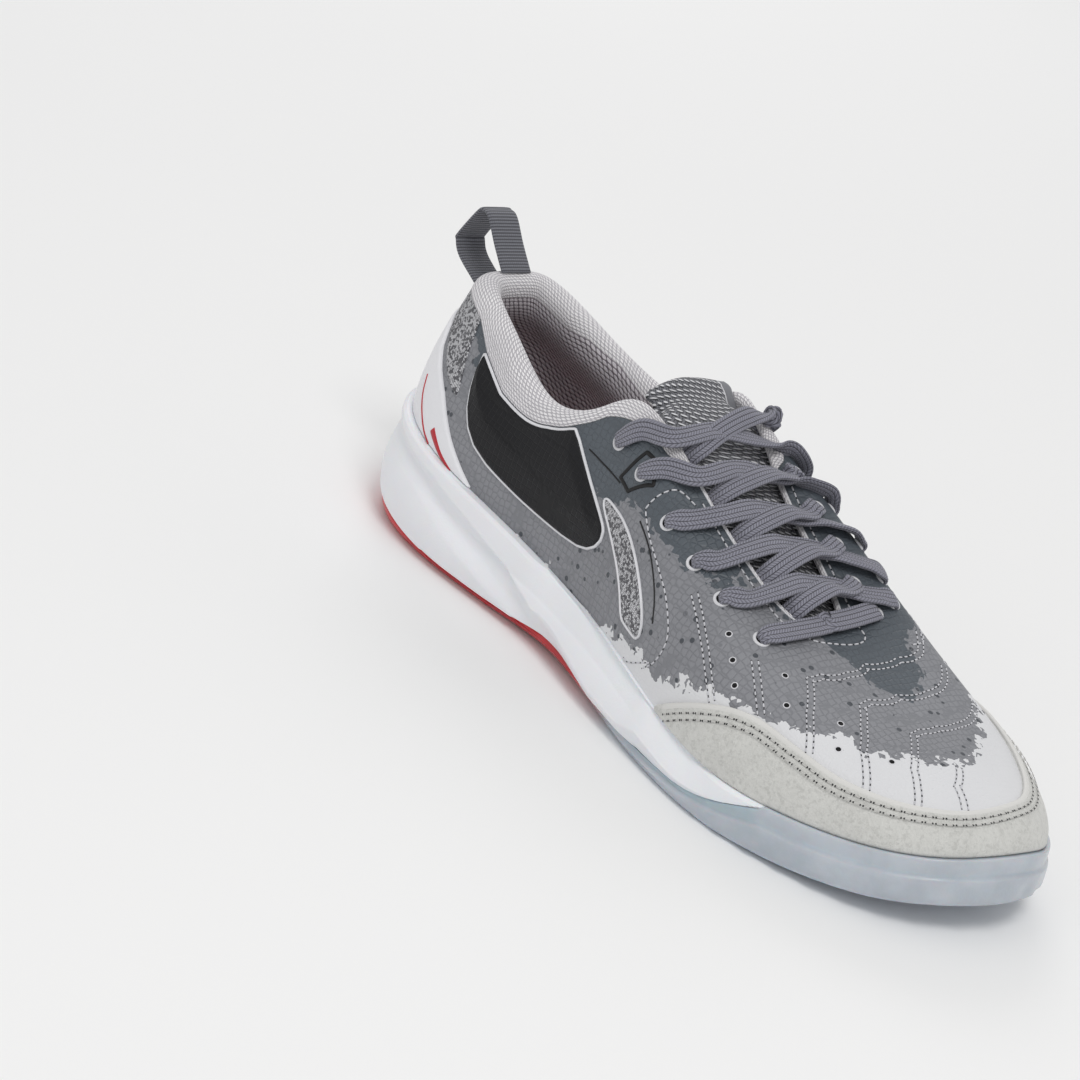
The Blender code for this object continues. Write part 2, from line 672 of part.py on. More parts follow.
def find_on_upper(x, y):
    """station and section share of the upper's outer face at plan point x, y"""
    u = np.linspace(0.20, 0.497, 40)
    u = u if y < THROAT_MIDDLE * BALL_WIDTH else 1 - u
    share = np.linspace(0.55, 1.0, 16)
    plan = last(u, share)[..., :2]
    off = np.linalg.norm(plan - (x, y), axis=-1)
    i, j = np.unravel_index(off.argmin(), off.shape)
    at = np.array([u[i], share[j]])
    for turn in range(5):
        here = last(at[:1], [[at[1]]])[0, 0, :2]
        turned = last(at[:1] + 1e-4, [[at[1]]])[0, 0, :2]
        raised = last(at[:1], [[at[1] - 1e-3]])[0, 0, :2]
        slope = np.column_stack([(turned - here) / 1e-4, (here - raised) / 1e-3])
        move = np.linalg.solve(slope, np.array([x, y]) - here)
        at = at + np.clip(move, -0.02, 0.02)
        at[1] = np.clip(at[1], 0.4, 1.0)
    return float(at[0]), float(at[1])


def throat_edges(x):
    """lateral and medial points of the throat's edge at x"""
    return [on_upper(edge_station(x, side), 1.0, 0)[0] for side in (-1, 1)]


def tongue_row(x):
    """one row of the tongue's upper face, from the lateral to the medial wing"""
    left, right = throat_edges(x)
    sides = []
    for edge, side in ((left, -1), (right, 1)):
        wing = []
        for out in (1.0, 0.5, 0.0):
            y = edge[1] + side * out * TONGUE_WING
            u, share = find_on_upper(edge[0], y)
            sink = float(wall(np.array([u]), [share])[0, 0]) + TONGUE_SINK
            wing.append(on_upper(u, share, -sink)[0])
        sides.append(wing)
    lateral, medial = sides
    left = lateral[-1]
    right = medial[-1]
    rise = np.array([0, 0, TONGUE_CROWN * np.linalg.norm(right - left) * 2])
    crown = (left + right) / 2 + rise
    middle = [left * (1 - s) ** 2 + crown * 2 * s * (1 - s) + right * s ** 2
              for s in (0.25, 0.5, 0.75)]
    return np.concatenate([lateral, middle, medial[::-1]])


def tongue_top_face():
    """grid of the tongue's upper face, rows from its front to its free top"""
    rows = [tongue_row(x * LENGTH) for x in TONGUE_ROWS]
    across = np.linspace(-1, 1, 9)
    shift = rows[-1][:, 1].mean()
    for x, z, half, drop in TONGUE_TOP:
        y = shift + (TONGUE_TOP_SHIFT + across * half) * BALL_WIDTH
        level = z * COLLAR_HEIGHT - drop * BALL_WIDTH * across ** 2
        rows.append(np.column_stack([np.full(9, x * LENGTH), y, level]))
    return np.array(rows)


def grid_normals(grid):
    """unit normals of a grid of points, rows by columns"""
    along = np.gradient(grid, axis=0)
    across = np.gradient(grid, axis=1)
    normal = np.cross(across, along)
    return normal / np.linalg.norm(normal, axis=-1)[..., None]


def build_tongue():
    top = tongue_top_face()
    normal = grid_normals(top)
    if normal[4, 4, 2] < 0:
        normal = -normal
    thick = np.full(top.shape[:2], TONGUE_THICKNESS)
    thick[:, [0, -1]] *= 0.55
    thick[-1, :] *= 0.7
    under = top - normal * thick[..., None]
    points, faces = slab(np.swapaxes(top, 0, 1)[:, ::-1], np.swapaxes(under, 0, 1)[:, ::-1])
    return add_object("tongue", points, faces, "grey_mesh")


def spline_through(anchors, count):
    """evenly spaced points on a smooth line through the anchors"""
    anchors = np.array(anchors)
    grown = np.concatenate([[2 * anchors[0] - anchors[1]], anchors,
                            [2 * anchors[-1] - anchors[-2]]])
    line = []
    for k in range(1, len(grown) - 2):
        a, b, c, d = grown[k - 1:k + 3]
        for t in np.linspace(0, 1, 12, endpoint=False):
            line.append(0.5 * (2 * b + (c - a) * t + (2 * a - 5 * b + 4 * c - d) * t ** 2
                               + (3 * b - a - 3 * c + d) * t ** 3))
    line.append(anchors[-1])
    line = np.array(line)
    way = np.concatenate([[0], np.cumsum(np.linalg.norm(np.diff(line, axis=0), axis=1))])
    even = np.linspace(0, way[-1], count)
    return np.column_stack([np.interp(even, way, line[:, k]) for k in range(3)])


def lace_solid(name, anchors, ups):
    """closed flat strip along a line, its flat side facing the given ups"""
    count = 11
    line = spline_through(anchors, count)
    up = spline_through(ups, count)
    ahead = np.gradient(line, axis=0)
    ahead /= np.linalg.norm(ahead, axis=1)[:, None]
    side = np.cross(ahead, up)
    side /= np.linalg.norm(side, axis=1)[:, None]
    up = np.cross(side, ahead)
    section = [(-0.50, 0.0), (-0.36, 0.5), (0.36, 0.5), (0.50, 0.0), (0.36, -0.5), (-0.36, -0.5)]
    rings = []
    for across, high in section:
        rings.append(line + side * across * LACE_WIDTH + up * high * LACE_THICKNESS)
    points = np.swapaxes(np.array(rings), 0, 1).reshape(-1, 3)
    sides = len(section)
    faces = []
    for k in range(count - 1):
        for c in range(sides):
            d = (c + 1) % sides
            faces.append((k * sides + c, k * sides + d, (k + 1) * sides + d, (k + 1) * sides + c))
    faces.append(tuple(range(sides))[::-1])
    faces.append(tuple((count - 1) * sides + c for c in range(sides)))
    return points, faces


def on_upper(u, share, height):
    """a point above the upper and the direction away from it"""
    at = np.array([u])
    t = np.array([[share]])
    normal = last_normal(at, t)[0, 0]
    return last(at, t)[0, 0] + normal * height, normal


def edge_station(x, side):
    """station of the throat's edge at x, on the lateral or the medial side"""
    u = np.linspace(0.22, 0.49, 120)
    edge = periodic(KNOTS, EDGE_LOOP, u if side < 0 else 1 - u)
    found = float(np.interp(x, edge[:, 0], u))
    return found if side < 0 else 1 - found


def on_throat(x, s, height):
    """a point above the throat at x, s from the lateral to the medial edge"""
    left = on_upper(edge_station(x, -1), 1.0, 0)[0]
    right = on_upper(edge_station(x, 1), 1.0, 0)[0]
    gap = np.linalg.norm(right - left)
    up = np.array([0.30, 0, 0.95])
    crown = TONGUE_CROWN * gap * 4 * s * (1 - s) + 0.0004
    return left + (right - left) * s + up * (height + crown), up


def across_throat(start, row, rest):
    """anchors from an eyelet over the throat's edges at the stations that a lace row gives"""
    near_edge, far_edge = row[:2]
    finish = np.array(row[2:])
    edge = np.array([far_edge, 1.0])
    begin = on_upper(near_edge, 1.0, 0)[0][0]
    reach = on_upper(far_edge, 1.0, 0)[0][0] - begin
    anchors = [on_upper(*start, rest)]
    anchors.append(on_upper((start[0] + near_edge) / 2, (start[1] + 0.985) / 2, rest + 0.0004))
    anchors.append(on_upper(near_edge, 0.985, rest + 0.0004))
    for s in (0.33, 0.67):
        anchors.append(on_throat(begin + reach * s, s, rest))
    for s in (0.04, 0.34, 0.67):
        spot = edge + (finish - edge) * s
        anchors.append(on_upper(spot[0], spot[1], rest + 0.0017 - 0.0006 * s))
    return anchors + [on_upper(*finish, rest)]


def across_shoe(start, finish, rest, over):
    """anchors from one point on the upper to another, straight over the throat"""
    first = on_upper(*start, rest)
    final = on_upper(*finish, rest)
    begin = first[0][:2]
    reach = final[0][:2] - begin
    near = 0.15
    far = 0.75
    for turn in range(6):
        near_edge = throat_edges(begin[0] + near * reach[0])[0]
        far_edge = throat_edges(begin[0] + far * reach[0])[1]
        near = (near_edge[1] - begin[1]) / reach[1]
        far = (far_edge[1] - begin[1]) / reach[1]
    anchors = [first]
    for s in (near * 0.5, near * 0.97):
        spot = find_on_upper(*(begin + reach * s))
        anchors.append(on_upper(*spot, rest + 0.0004))
    for s in (0.33, 0.67):
        anchors.append(on_throat(begin[0] + reach[0] * (near + (far - near) * s), s, over))
    edge = np.array([edge_station(begin[0] + far * reach[0], 1), 1.0])
    for s in (0.04, 0.34, 0.67):
        spot = edge + (np.array(finish) - edge) * s
        anchors.append(on_upper(spot[0], spot[1], rest + 0.0017 - 0.0006 * s))
    return anchors + [final]


def lace_runs():
    """anchors of the straight runs from top to front, then of the rising runs"""
    rest = LACE_THICKNESS / 2 + LACE_LIFT
    runs = []
    for k, row in enumerate(LACE_ROWS):
        runs.append(across_throat(EYELET_ROWS[k][:2], row, rest))
    runs.append(across_shoe(EYELET_ROWS[5][:2], EYELET_ROWS[5][2:], rest, rest))
    for k in range(5):
        near = EYELET_ROWS[k][2:]
        lower = runs[k + 1]
        start = lower[2][0] * 0.60 + lower[3][0] * 0.40
        end = on_upper(near[0], near[1], rest + 0.0012)
        edge = edge_station(end[0][0] + 0.0030, 1)
        x_edge = on_upper(edge, 1.0, 0)[0][0]
        half = on_upper((edge + near[0]) / 2, (0.985 + near[1]) / 2, rest + 0.0024)
        runs.append([
            (start, lower[2][1]),
            on_throat(start[0] * 0.62 + x_edge * 0.38, 0.40, rest + 0.0012),
            on_throat(start[0] * 0.28 + x_edge * 0.72, 0.74, rest + 0.0022),
            on_upper(edge, 0.985, rest + 0.0026),
            half,
            end])
    return runs


def build_laces():
    laces = None
    runs = lace_runs()
    order = [0, 6, 1, 7, 2, 8, 3, 9, 4, 10, 5]
    for place in order:
        anchors = [point for point, up in runs[place]]
        ups = [up for point, up in runs[place]]
        points, faces = lace_solid("lace", anchors, ups)
        if laces is None:
            laces = add_object("laces", points, faces, "grey_lace")
        else:
            add_cutter("lace_run_%02d" % place, points, faces, laces, "UNION")
    return laces


def build_pull_loop():
    """webbing sewn to the heel's back, folded over and down to the collar"""
    seat = LOOP_THICKNESS / 2 + GAP + 0.0001
    back = np.array([0.0])
    sewn = off_last(back, np.array([LOOP_SEAM]), np.full((1, len(LOOP_SEAM)), seat))[0]
    line = [(point[0], point[2]) for point in sewn]
    line += [(x * LENGTH, z * COLLAR_HEIGHT) for x, z in LOOP_ROWS]
    crest = last(back, np.array([[1.0]]))[0, 0]
    below = last(back, np.array([[UPPER_ROWS[-2]]]))[0, 0]
    inner = off_last(back, np.array([[1.0]]), -wall(back, [1.0]))[0, 0]
    ahead = (crest - below) / np.linalg.norm(crest - below)
    roll = (crest + inner) / 2 + ahead * np.linalg.norm(inner - crest) / 2
    line.append((roll[0], roll[2] + GAP + LOOP_THICKNESS / 2))
    line = np.array(line)
    ahead = np.gradient(line, axis=0)
    ahead /= np.linalg.norm(ahead, axis=1)[:, None]
    out = np.column_stack([-ahead[:, 1], ahead[:, 0]]) * LOOP_THICKNESS / 2
    outer = line + out
    inner = line - out
    half = LOOP_WIDTH / 2
    grids = []
    for side in (outer, inner):
        grid = np.array([[(x, y, z) for x, z in side] for y in (-half, half)])
        grids.append(grid)
    points, faces = slab(grids[0], grids[1])
    return add_object("pull_loop", points, faces, "grey_webbing")


def stand_on_origin():
    """move every mesh so that the middle of the footprint lies over the origin"""
    low = np.full(3, np.inf)
    high = np.full(3, -np.inf)
    for item in bpy.data.objects:
        if not item.hide_render:
            points = np.array([vertex.co for vertex in item.data.vertices])
            low = np.minimum(low, points.min(axis=0))
            high = np.maximum(high, points.max(axis=0))
    for item in bpy.data.objects:
        for vertex in item.data.vertices:
            vertex.co.x -= (low[0] + high[0]) / 2
            vertex.co.y -= (low[1] + high[1]) / 2
        item.data.update()


def main():
    clear_scene()
    build_outsole()
    build_midsole()
    build_upper()
    build_insole()
    build_tongue()
    patch(CAP_ROWS, "toe_cap", "pale_suede", CAP_WALL, 0.035)
    patch(COUNTER_ROWS, "heel_counter", "white_panel", COUNTER_WALL, 0.035)
    build_laces()
    build_pull_loop()
    stand_on_origin()


main()
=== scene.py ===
# Looks of an indoor soccer shoe: a right shoe standing empty on its sole.
# Metres, +X towards the toe, +Z up, -Y is the outer side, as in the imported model.
# u is a station round the shoe: 0 heel back, 0.25 outer side, 0.5 toe, 0.75 inner side.
# share runs up the upper's section: 0 on the sole, 1 at the collar and throat edge.

import math

import bmesh
import bpy
import numpy as np
from mathutils import Matrix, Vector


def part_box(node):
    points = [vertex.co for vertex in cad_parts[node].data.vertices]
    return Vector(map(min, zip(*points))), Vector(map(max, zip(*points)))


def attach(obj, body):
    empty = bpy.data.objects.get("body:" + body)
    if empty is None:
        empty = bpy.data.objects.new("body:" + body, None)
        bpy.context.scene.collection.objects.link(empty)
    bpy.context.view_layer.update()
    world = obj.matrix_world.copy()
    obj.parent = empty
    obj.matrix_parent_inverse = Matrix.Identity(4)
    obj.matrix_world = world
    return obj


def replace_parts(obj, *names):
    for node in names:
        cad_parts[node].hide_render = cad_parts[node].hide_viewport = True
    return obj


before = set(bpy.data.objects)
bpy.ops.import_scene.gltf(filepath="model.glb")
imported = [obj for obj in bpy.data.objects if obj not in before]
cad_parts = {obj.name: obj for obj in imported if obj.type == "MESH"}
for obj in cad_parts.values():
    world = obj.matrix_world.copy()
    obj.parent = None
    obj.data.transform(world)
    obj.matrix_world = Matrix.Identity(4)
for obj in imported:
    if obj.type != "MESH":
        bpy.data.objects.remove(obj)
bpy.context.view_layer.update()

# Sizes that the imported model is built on
LENGTH = 0.297
BALL_WIDTH = 0.104
COLLAR_HEIGHT = 0.092
SOLE_HEIGHT = 0.036
TOE_SPRING = 0.0114
GAP = 0.00035
VAMP_WALL = 0.0018
COLLAR_WALL = 0.0085
LUG = 0.0017
RIM_WALL = 0.0016
LIP_INSET = 0.0038
UPPER_INSET = 0.0042
ARCH_WINDOW = ((0.335, 0.00), (0.580, -0.20), (0.580, 0.18))

SOLE_COLUMNS = ("x", "lateral", "medial", "feather_lateral", "feather_medial",
                "floor", "rim_lateral", "rim_medial", "ground", "wall_in", "rim_in")
SOLE_ROWS = {
    "heel_back":   (0.000, 0.000, 0.000, 1.09, 1.09, 0.66, 0.29, 0.29, 0.30, 0.00, 0.8),
    "heel_corner": (0.043, 0.245, 0.230, 1.07, 1.06, 0.65, 0.23, 0.23, 0.06, 0.00, 0.8),
    "heel":        (0.155, 0.375, 0.335, 0.97, 0.94, 0.63, 0.17, 0.17, -0.05, 0.00, 0.8),
    "ankle":       (0.286, 0.365, 0.315, 0.83, 0.83, 0.59, 0.17, 0.17, -0.03, 0.00, 0.9),
    "waist":       (0.414, 0.362, 0.280, 0.69, 0.76, 0.53, 0.22, 0.22, 0.20, 0.00, 1.0),
    "instep":      (0.522, 0.425, 0.305, 0.63, 0.67, 0.46, 0.20, 0.20, 0.12, 0.06, 0.8),
    "ball_back":   (0.630, 0.482, 0.395, 0.50, 0.55, 0.36, 0.19, 0.19, -0.04, 0.25, 0.3),
    "ball":        (0.737, 0.500, 0.490, 0.43, 0.46, 0.31, 0.22, 0.24, -0.04, 0.70, 0.0),
    "toe_back":    (0.845, 0.430, 0.490, 0.48, 0.50, 0.34, 0.55, 0.58, 0.14, 1.20, 0.0),
    "toe":         (0.929, 0.315, 0.395, 0.59, 0.58, 0.44, 0.62, 0.61, 0.47, 1.20, 0.0),
    "toe_corner":  (0.980, 0.150, 0.250, 0.70, 0.67, 0.54, 0.73, 0.70, 0.82, 1.20, 0.0),
    "toe_tip":     (1.000, -0.075, 0.075, 0.76, 0.76, 0.60, 0.79, 0.79, 1.00, 1.20, 0.0),
}
EDGE_COLUMNS = ("x", "lateral", "medial", "z_lateral", "z_medial",
                "lean", "low", "rise_lateral", "rise_medial",
                "high_lateral", "high_medial", "pad")
EDGE_ROWS = {
    "heel_back":   (0.052, 0.000, 0.000, 0.935, 0.935, 0, 0.34, 74, 74, 0.36, 0.36, 1.00),
    "heel_corner": (0.070, 0.155, 0.150, 0.930, 0.932, 2, 0.34, 76, 76, 0.36, 0.36, 1.00),
    "heel":        (0.158, 0.245, 0.243, 0.852, 0.835, 5, 0.33, 84, 84, 0.35, 0.35, 0.95),
    "ankle":       (0.266, 0.285, 0.288, 0.742, 0.755, 6, 0.32, 88, 88, 0.35, 0.35, 0.85),
    "waist":       (0.350, 0.262, 0.265, 0.840, 0.850, 8, 0.34, 71, 64, 0.38, 0.46, 0.50),
    "instep":      (0.408, 0.212, 0.212, 0.962, 0.982, 8, 0.36, 47, 30, 0.40, 0.58, 0.12),
    "ball_back":   (0.515, 0.185, 0.125, 0.815, 0.845, 7, 0.37, 33, 6, 0.44, 0.60, 0.00),
    "ball":        (0.600, 0.168, 0.096, 0.683, 0.715, 6, 0.37, 25, 8, 0.47, 0.54, 0.00),
    "toe_back":    (0.654, 0.130, 0.080, 0.602, 0.628, 4, 0.32, 22, 14, 0.50, 0.50, 0.00),
    "toe":         (0.675, 0.087, 0.048, 0.583, 0.597, 0, 0.24, 21, 18, 0.50, 0.50, 0.00),
    "toe_corner":  (0.679, 0.054, 0.005, 0.580, 0.586, -2, 0.20, 20, 19, 0.51, 0.51, 0.00),
    "toe_tip":     (0.680, 0.026, -0.026, 0.580, 0.580, -4, 0.18, 20, 20, 0.52, 0.52, 0.00),
}


def column(rows, columns, name):
    """one named column of a table"""
    place = columns.index(name)
    return np.array([row[place] for row in rows], float)


def loop(lateral, medial):
    """values round the shoe: heel back, outer side, toe, inner side"""
    return np.array(list(lateral) + list(medial[-2:0:-1]), float)


def periodic(knots, values, at):
    """closed cubic spline through values at knots, with the loop's length last"""
    count = len(values)
    steps = np.diff(knots)
    system = np.zeros((count, count))
    right = np.zeros((count,) + values.shape[1:])
    for i in range(count):
        before = steps[i - 1]
        after = steps[i]
        system[i, (i - 1) % count] += before
        system[i, i] += 2 * (before + after)
        system[i, (i + 1) % count] += after
        right[i] = 6 * ((values[(i + 1) % count] - values[i]) / after
                        - (values[i] - values[i - 1]) / before)
    bend = np.linalg.solve(system, right)
    at = np.asarray(at, float) % 1.0
    j = np.clip(np.searchsorted(knots, at, side="right") - 1, 0, count - 1)
    step = steps[j]
    a = (knots[j + 1] - at) / step
    b = (at - knots[j]) / step
    if values.ndim > 1:
        a = a[:, None]
        b = b[:, None]
        step = step[:, None]
    k = (j + 1) % count
    curve = (a ** 3 - a) * bend[j] + (b ** 3 - b) * bend[k]
    return a * values[j] + b * values[k] + curve * step ** 2 / 6


def smooth(value, low, high):
    """0 below low, 1 above high, and an even S between them"""
    t = np.clip((np.asarray(value, float) - low) / (high - low), 0, 1)
    return t * t * (3 - 2 * t)


def unit(vectors):
    """the same directions with length 1"""
    return vectors / np.linalg.norm(vectors, axis=-1, keepdims=True)


SOLE = {name: column(SOLE_ROWS.values(), SOLE_COLUMNS, name) for name in SOLE_COLUMNS}
EDGE = {name: column(EDGE_ROWS.values(), EDGE_COLUMNS, name) for name in EDGE_COLUMNS}
OUTLINE = np.column_stack([
    loop(SOLE["x"], SOLE["x"]) * LENGTH,
    loop(-SOLE["lateral"], SOLE["medial"]) * BALL_WIDTH])


def station_knots():
    """the share of the way round the sole at which each row stands"""
    x = SOLE["x"] * LENGTH
    lateral = np.hypot(np.diff(x), np.diff(SOLE["lateral"] * BALL_WIDTH))
    medial = np.hypot(np.diff(x), np.diff(SOLE["medial"] * BALL_WIDTH))
    steps = (lateral + medial) / 2
    half = np.concatenate([[0], np.cumsum(steps)]) / steps.sum() / 2
    return np.concatenate([half, 1 - half[-2::-1]])


KNOTS = station_knots()
SHIFT = np.array([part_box("outsole")[1].x - LENGTH, 0.0, 0.0])
_round = periodic(KNOTS, OUTLINE, np.arange(76) / 76)[:, 1]
SHIFT[1] = -(_round.min() + _round.max()) / 2
OUTLINE = OUTLINE + SHIFT[:2]
EDGE_LOOP = np.column_stack([
    loop(EDGE["x"], EDGE["x"]) * LENGTH,
    loop(-EDGE["lateral"], EDGE["medial"]) * BALL_WIDTH,
    loop(EDGE["z_lateral"], EDGE["z_medial"]) * COLLAR_HEIGHT]) + SHIFT


def sole_value(name, u):
    """a column of the sole's table at stations u, the same on both sides"""
    return periodic(KNOTS, loop(SOLE[name], SOLE[name]), u)


def sole_height(name, u):
    """a column with an outer and an inner side, in metres"""
    both = loop(SOLE[name + "_lateral"], SOLE[name + "_medial"])
    return periodic(KNOTS, both, u) * SOLE_HEIGHT


def edge_value(name, u):
    """a column of the edge's table at stations u"""
    return periodic(KNOTS, loop(EDGE[name], EDGE[name]), u)


def ground(x):
    """lift of the tread at x: flat under heel and ball, bevel, arch, toe spring"""
    rows = SOLE["x"] * LENGTH + SHIFT[0]
    reach = 0.03 * LENGTH
    x = np.asarray(x, float)
    lift = np.interp(x, rows, SOLE["ground"])
    near = [np.interp(x + d * reach, rows, SOLE["ground"]) for d in (-1, -0.5, 0.5, 1)]
    return np.maximum(0, (lift * 2 + sum(near)) / 6) * TOE_SPRING


def outline(u, inset=0.0):
    """sole outline at stations u, moved inwards by inset"""
    u = np.asarray(u, float)
    point = periodic(KNOTS, OUTLINE, u)
    step = periodic(KNOTS, OUTLINE, u + 2e-4) - periodic(KNOTS, OUTLINE, u - 2e-4)
    out = unit(np.column_stack([step[:, 1], -step[:, 0]]))
    return point - out * np.asarray(inset * np.ones(len(point)))[:, None]


def last(u, share):
    """outer face of the upper: a cubic curve in each section, from feather to edge"""
    foot = outline(u, UPPER_INSET)
    foot_z = sole_height("feather", u)
    edge = periodic(KNOTS, EDGE_LOOP, u)
    across = foot - edge[:, :2]
    reach = np.linalg.norm(across, axis=1)
    across /= reach[:, None]
    size = np.hypot(reach, edge[:, 2] - foot_z)
    lean = np.radians(edge_value("lean", u))
    rise = np.radians(periodic(KNOTS, loop(EDGE["rise_lateral"], EDGE["rise_medial"]), u))
    low = edge_value("low", u) * size
    high = periodic(KNOTS, loop(EDGE["high_lateral"], EDGE["high_medial"]), u) * size
    t = np.asarray(share, float)
    if t.ndim == 1:
        t = t[None, :]
    hold_r = (reach[:, None] * (1 - t) ** 3
              + 3 * (1 - t) ** 2 * t * (reach + low * np.sin(lean))[:, None]
              + 3 * (1 - t) * t ** 2 * (high * np.cos(rise))[:, None])
    hold_z = (foot_z[:, None] * (1 - t) ** 3
              + 3 * (1 - t) ** 2 * t * (foot_z + low * np.cos(lean))[:, None]
              + 3 * (1 - t) * t ** 2 * (edge[:, 2] - high * np.sin(rise))[:, None]
              + t ** 3 * edge[:, 2][:, None])
    plan = edge[:, None, :2] + across[:, None, :] * hold_r[..., None]
    return np.concatenate([plan, hold_z[..., None]], -1)


def last_normal(u, share):
    """outward unit normals of the upper's outer face"""
    u = np.asarray(u, float)
    t = np.asarray(share, float) * np.ones((len(u), 1))
    around = last(u + 1e-3, t) - last(u - 1e-3, t)
    along = last(u, np.minimum(t + 1e-3, 1)) - last(u, np.minimum(t + 1e-3, 1) - 2e-3)
    return unit(np.cross(around, along))


def off_last(u, share, height):
    """points at a height above the upper's outer face, negative inside it"""
    u = np.asarray(u, float)
    t = np.asarray(share, float) * np.ones((len(u), 1))
    return last(u, t) + last_normal(u, t) * (np.asarray(height) * np.ones(t.shape))[..., None]


def spots(u, share, height=0.0):
    """off_last for single points: one station and one share each"""
    u = np.asarray(u, float)
    t = np.asarray(share, float)[:, None]
    h = (np.asarray(height) * np.ones(len(u)))[:, None]
    return off_last(u, t, h)[:, 0], last_normal(u, t)[:, 0]


def wall(u, share):
    """thickness of the upper: thin vamp, lined heel, padded collar"""
    pad = edge_value("pad", u)[:, None]
    share = np.asarray(share, float)[None, :]
    swell = smooth(share, 0.45, 0.92) * np.clip(pad, 0, 1)
    lining = 0.0010 * smooth(pad, 0.3, 0.9)
    return VAMP_WALL + lining * smooth(share, 0.0, 0.3) + (COLLAR_WALL - VAMP_WALL) * swell


def lay_grid(rows, cols, wrap_rows=False, wrap_cols=False):
    """quads of a grid as corner row and column numbers, which run on past a wrap"""
    r = np.arange(rows if wrap_rows else rows - 1)
    c = np.arange(cols if wrap_cols else cols - 1)
    r, c = np.meshgrid(r, c, indexing="ij")
    corner_r = np.stack([r, r + 1, r + 1, r], -1).reshape(-1, 4)
    corner_c = np.stack([c, c, c + 1, c + 1], -1).reshape(-1, 4)
    return corner_r, corner_c


def make_piece(name, points, faces, uv=None, fields=None):
    """a mesh object at the origin from arrays; uv holds one pair for each face corner"""
    mesh = bpy.data.meshes.new(name)
    points = np.ascontiguousarray(points, np.float32)
    faces = np.asarray(faces)
    size = faces.shape[1]
    mesh.vertices.add(len(points))
    mesh.vertices.foreach_set("co", points.ravel())
    mesh.loops.add(faces.size)
    mesh.loops.foreach_set("vertex_index", faces.ravel().astype(np.int32))
    mesh.polygons.add(len(faces))
    mesh.polygons.foreach_set("loop_start", np.arange(0, faces.size, size, dtype=np.int32))
    mesh.polygons.foreach_set("use_smooth", np.ones(len(faces), bool))
    if uv is not None:
        layer = mesh.uv_layers.new(name="UVMap")
        layer.data.foreach_set("uv", np.ascontiguousarray(uv, np.float32).ravel())
    for key, values in (fields or {}).items():
        item = mesh.attributes.new(key, "FLOAT", "POINT")
        item.data.foreach_set("value", np.ascontiguousarray(values, np.float32).ravel())
    mesh.validate()
    mesh.update()
    piece = bpy.data.objects.new(name, mesh)
    bpy.context.scene.collection.objects.link(piece)
    return piece


def grid_piece(name, points, wrap_rows=False, wrap_cols=False, uv=None, fields=None):
    """a grid of points as a piece; uv is a pair of values for its rows and columns"""
    rows, cols = points.shape[:2]
    r, c = lay_grid(rows, cols, wrap_rows, wrap_cols)
    corners = None
    if uv is not None:
        row_value, col_value = uv
        if row_value.ndim == 1:
            corners = np.stack([row_value[r], col_value[c]], -1)
        else:
            at = (r % row_value.shape[0], c % row_value.shape[1])
            corners = np.stack([row_value[at], col_value[at]], -1)
    faces = (r % rows) * cols + c % cols
    return make_piece(name, points.reshape(-1, 3), faces, corners, fields)


def joined_piece(name, parts):
    """several lists of points and quads, such as stitches, as one piece"""
    points = np.concatenate([p for p, f in parts])
    starts = np.cumsum([0] + [len(p) for p, f in parts[:-1]])
    faces = np.concatenate([f + s for (p, f), s in zip(parts, starts)])
    return make_piece(name, points, faces)


def way_along(points):
    """distance along a line of points"""
    steps = np.linalg.norm(np.diff(points, axis=0), axis=1)
    return np.concatenate([[0], np.cumsum(steps)])


def way_across(grid):
    """distance along each row of a grid of points"""
    steps = np.diff(grid, axis=1, prepend=grid[:, :1])
    return np.cumsum(np.linalg.norm(steps, axis=-1), axis=1)


def even_line(points, count):
    """a line of points laid out again at even distances"""
    way = way_along(points)
    even = np.linspace(0, way[-1], count)
    return np.column_stack([np.interp(even, way, points[:, k]) for k in range(points.shape[1])])


def rounded(points, count, closed=False):
    """a smooth line through given points: Catmull-Rom pieces, laid out evenly"""
    points = np.asarray(points, float)
    if closed:
        grown = np.concatenate([points[-1:], points, points[:2]])
    else:
        grown = np.concatenate([[2 * points[0] - points[1]], points, [2 * points[-1] - points[-2]]])
    t = np.linspace(0, 1, 24, endpoint=False)[:, None]
    line = []
    for k in range(1, len(grown) - 2):
        a, b, c, d = grown[k - 1:k + 3]
        line.append(0.5 * (2 * b + (c - a) * t + (2 * a - 5 * b + 4 * c - d) * t ** 2
                           + (3 * b - a - 3 * c + d) * t ** 3))
    line.append(grown[-2][None, :])
    return even_line(np.concatenate(line), count)


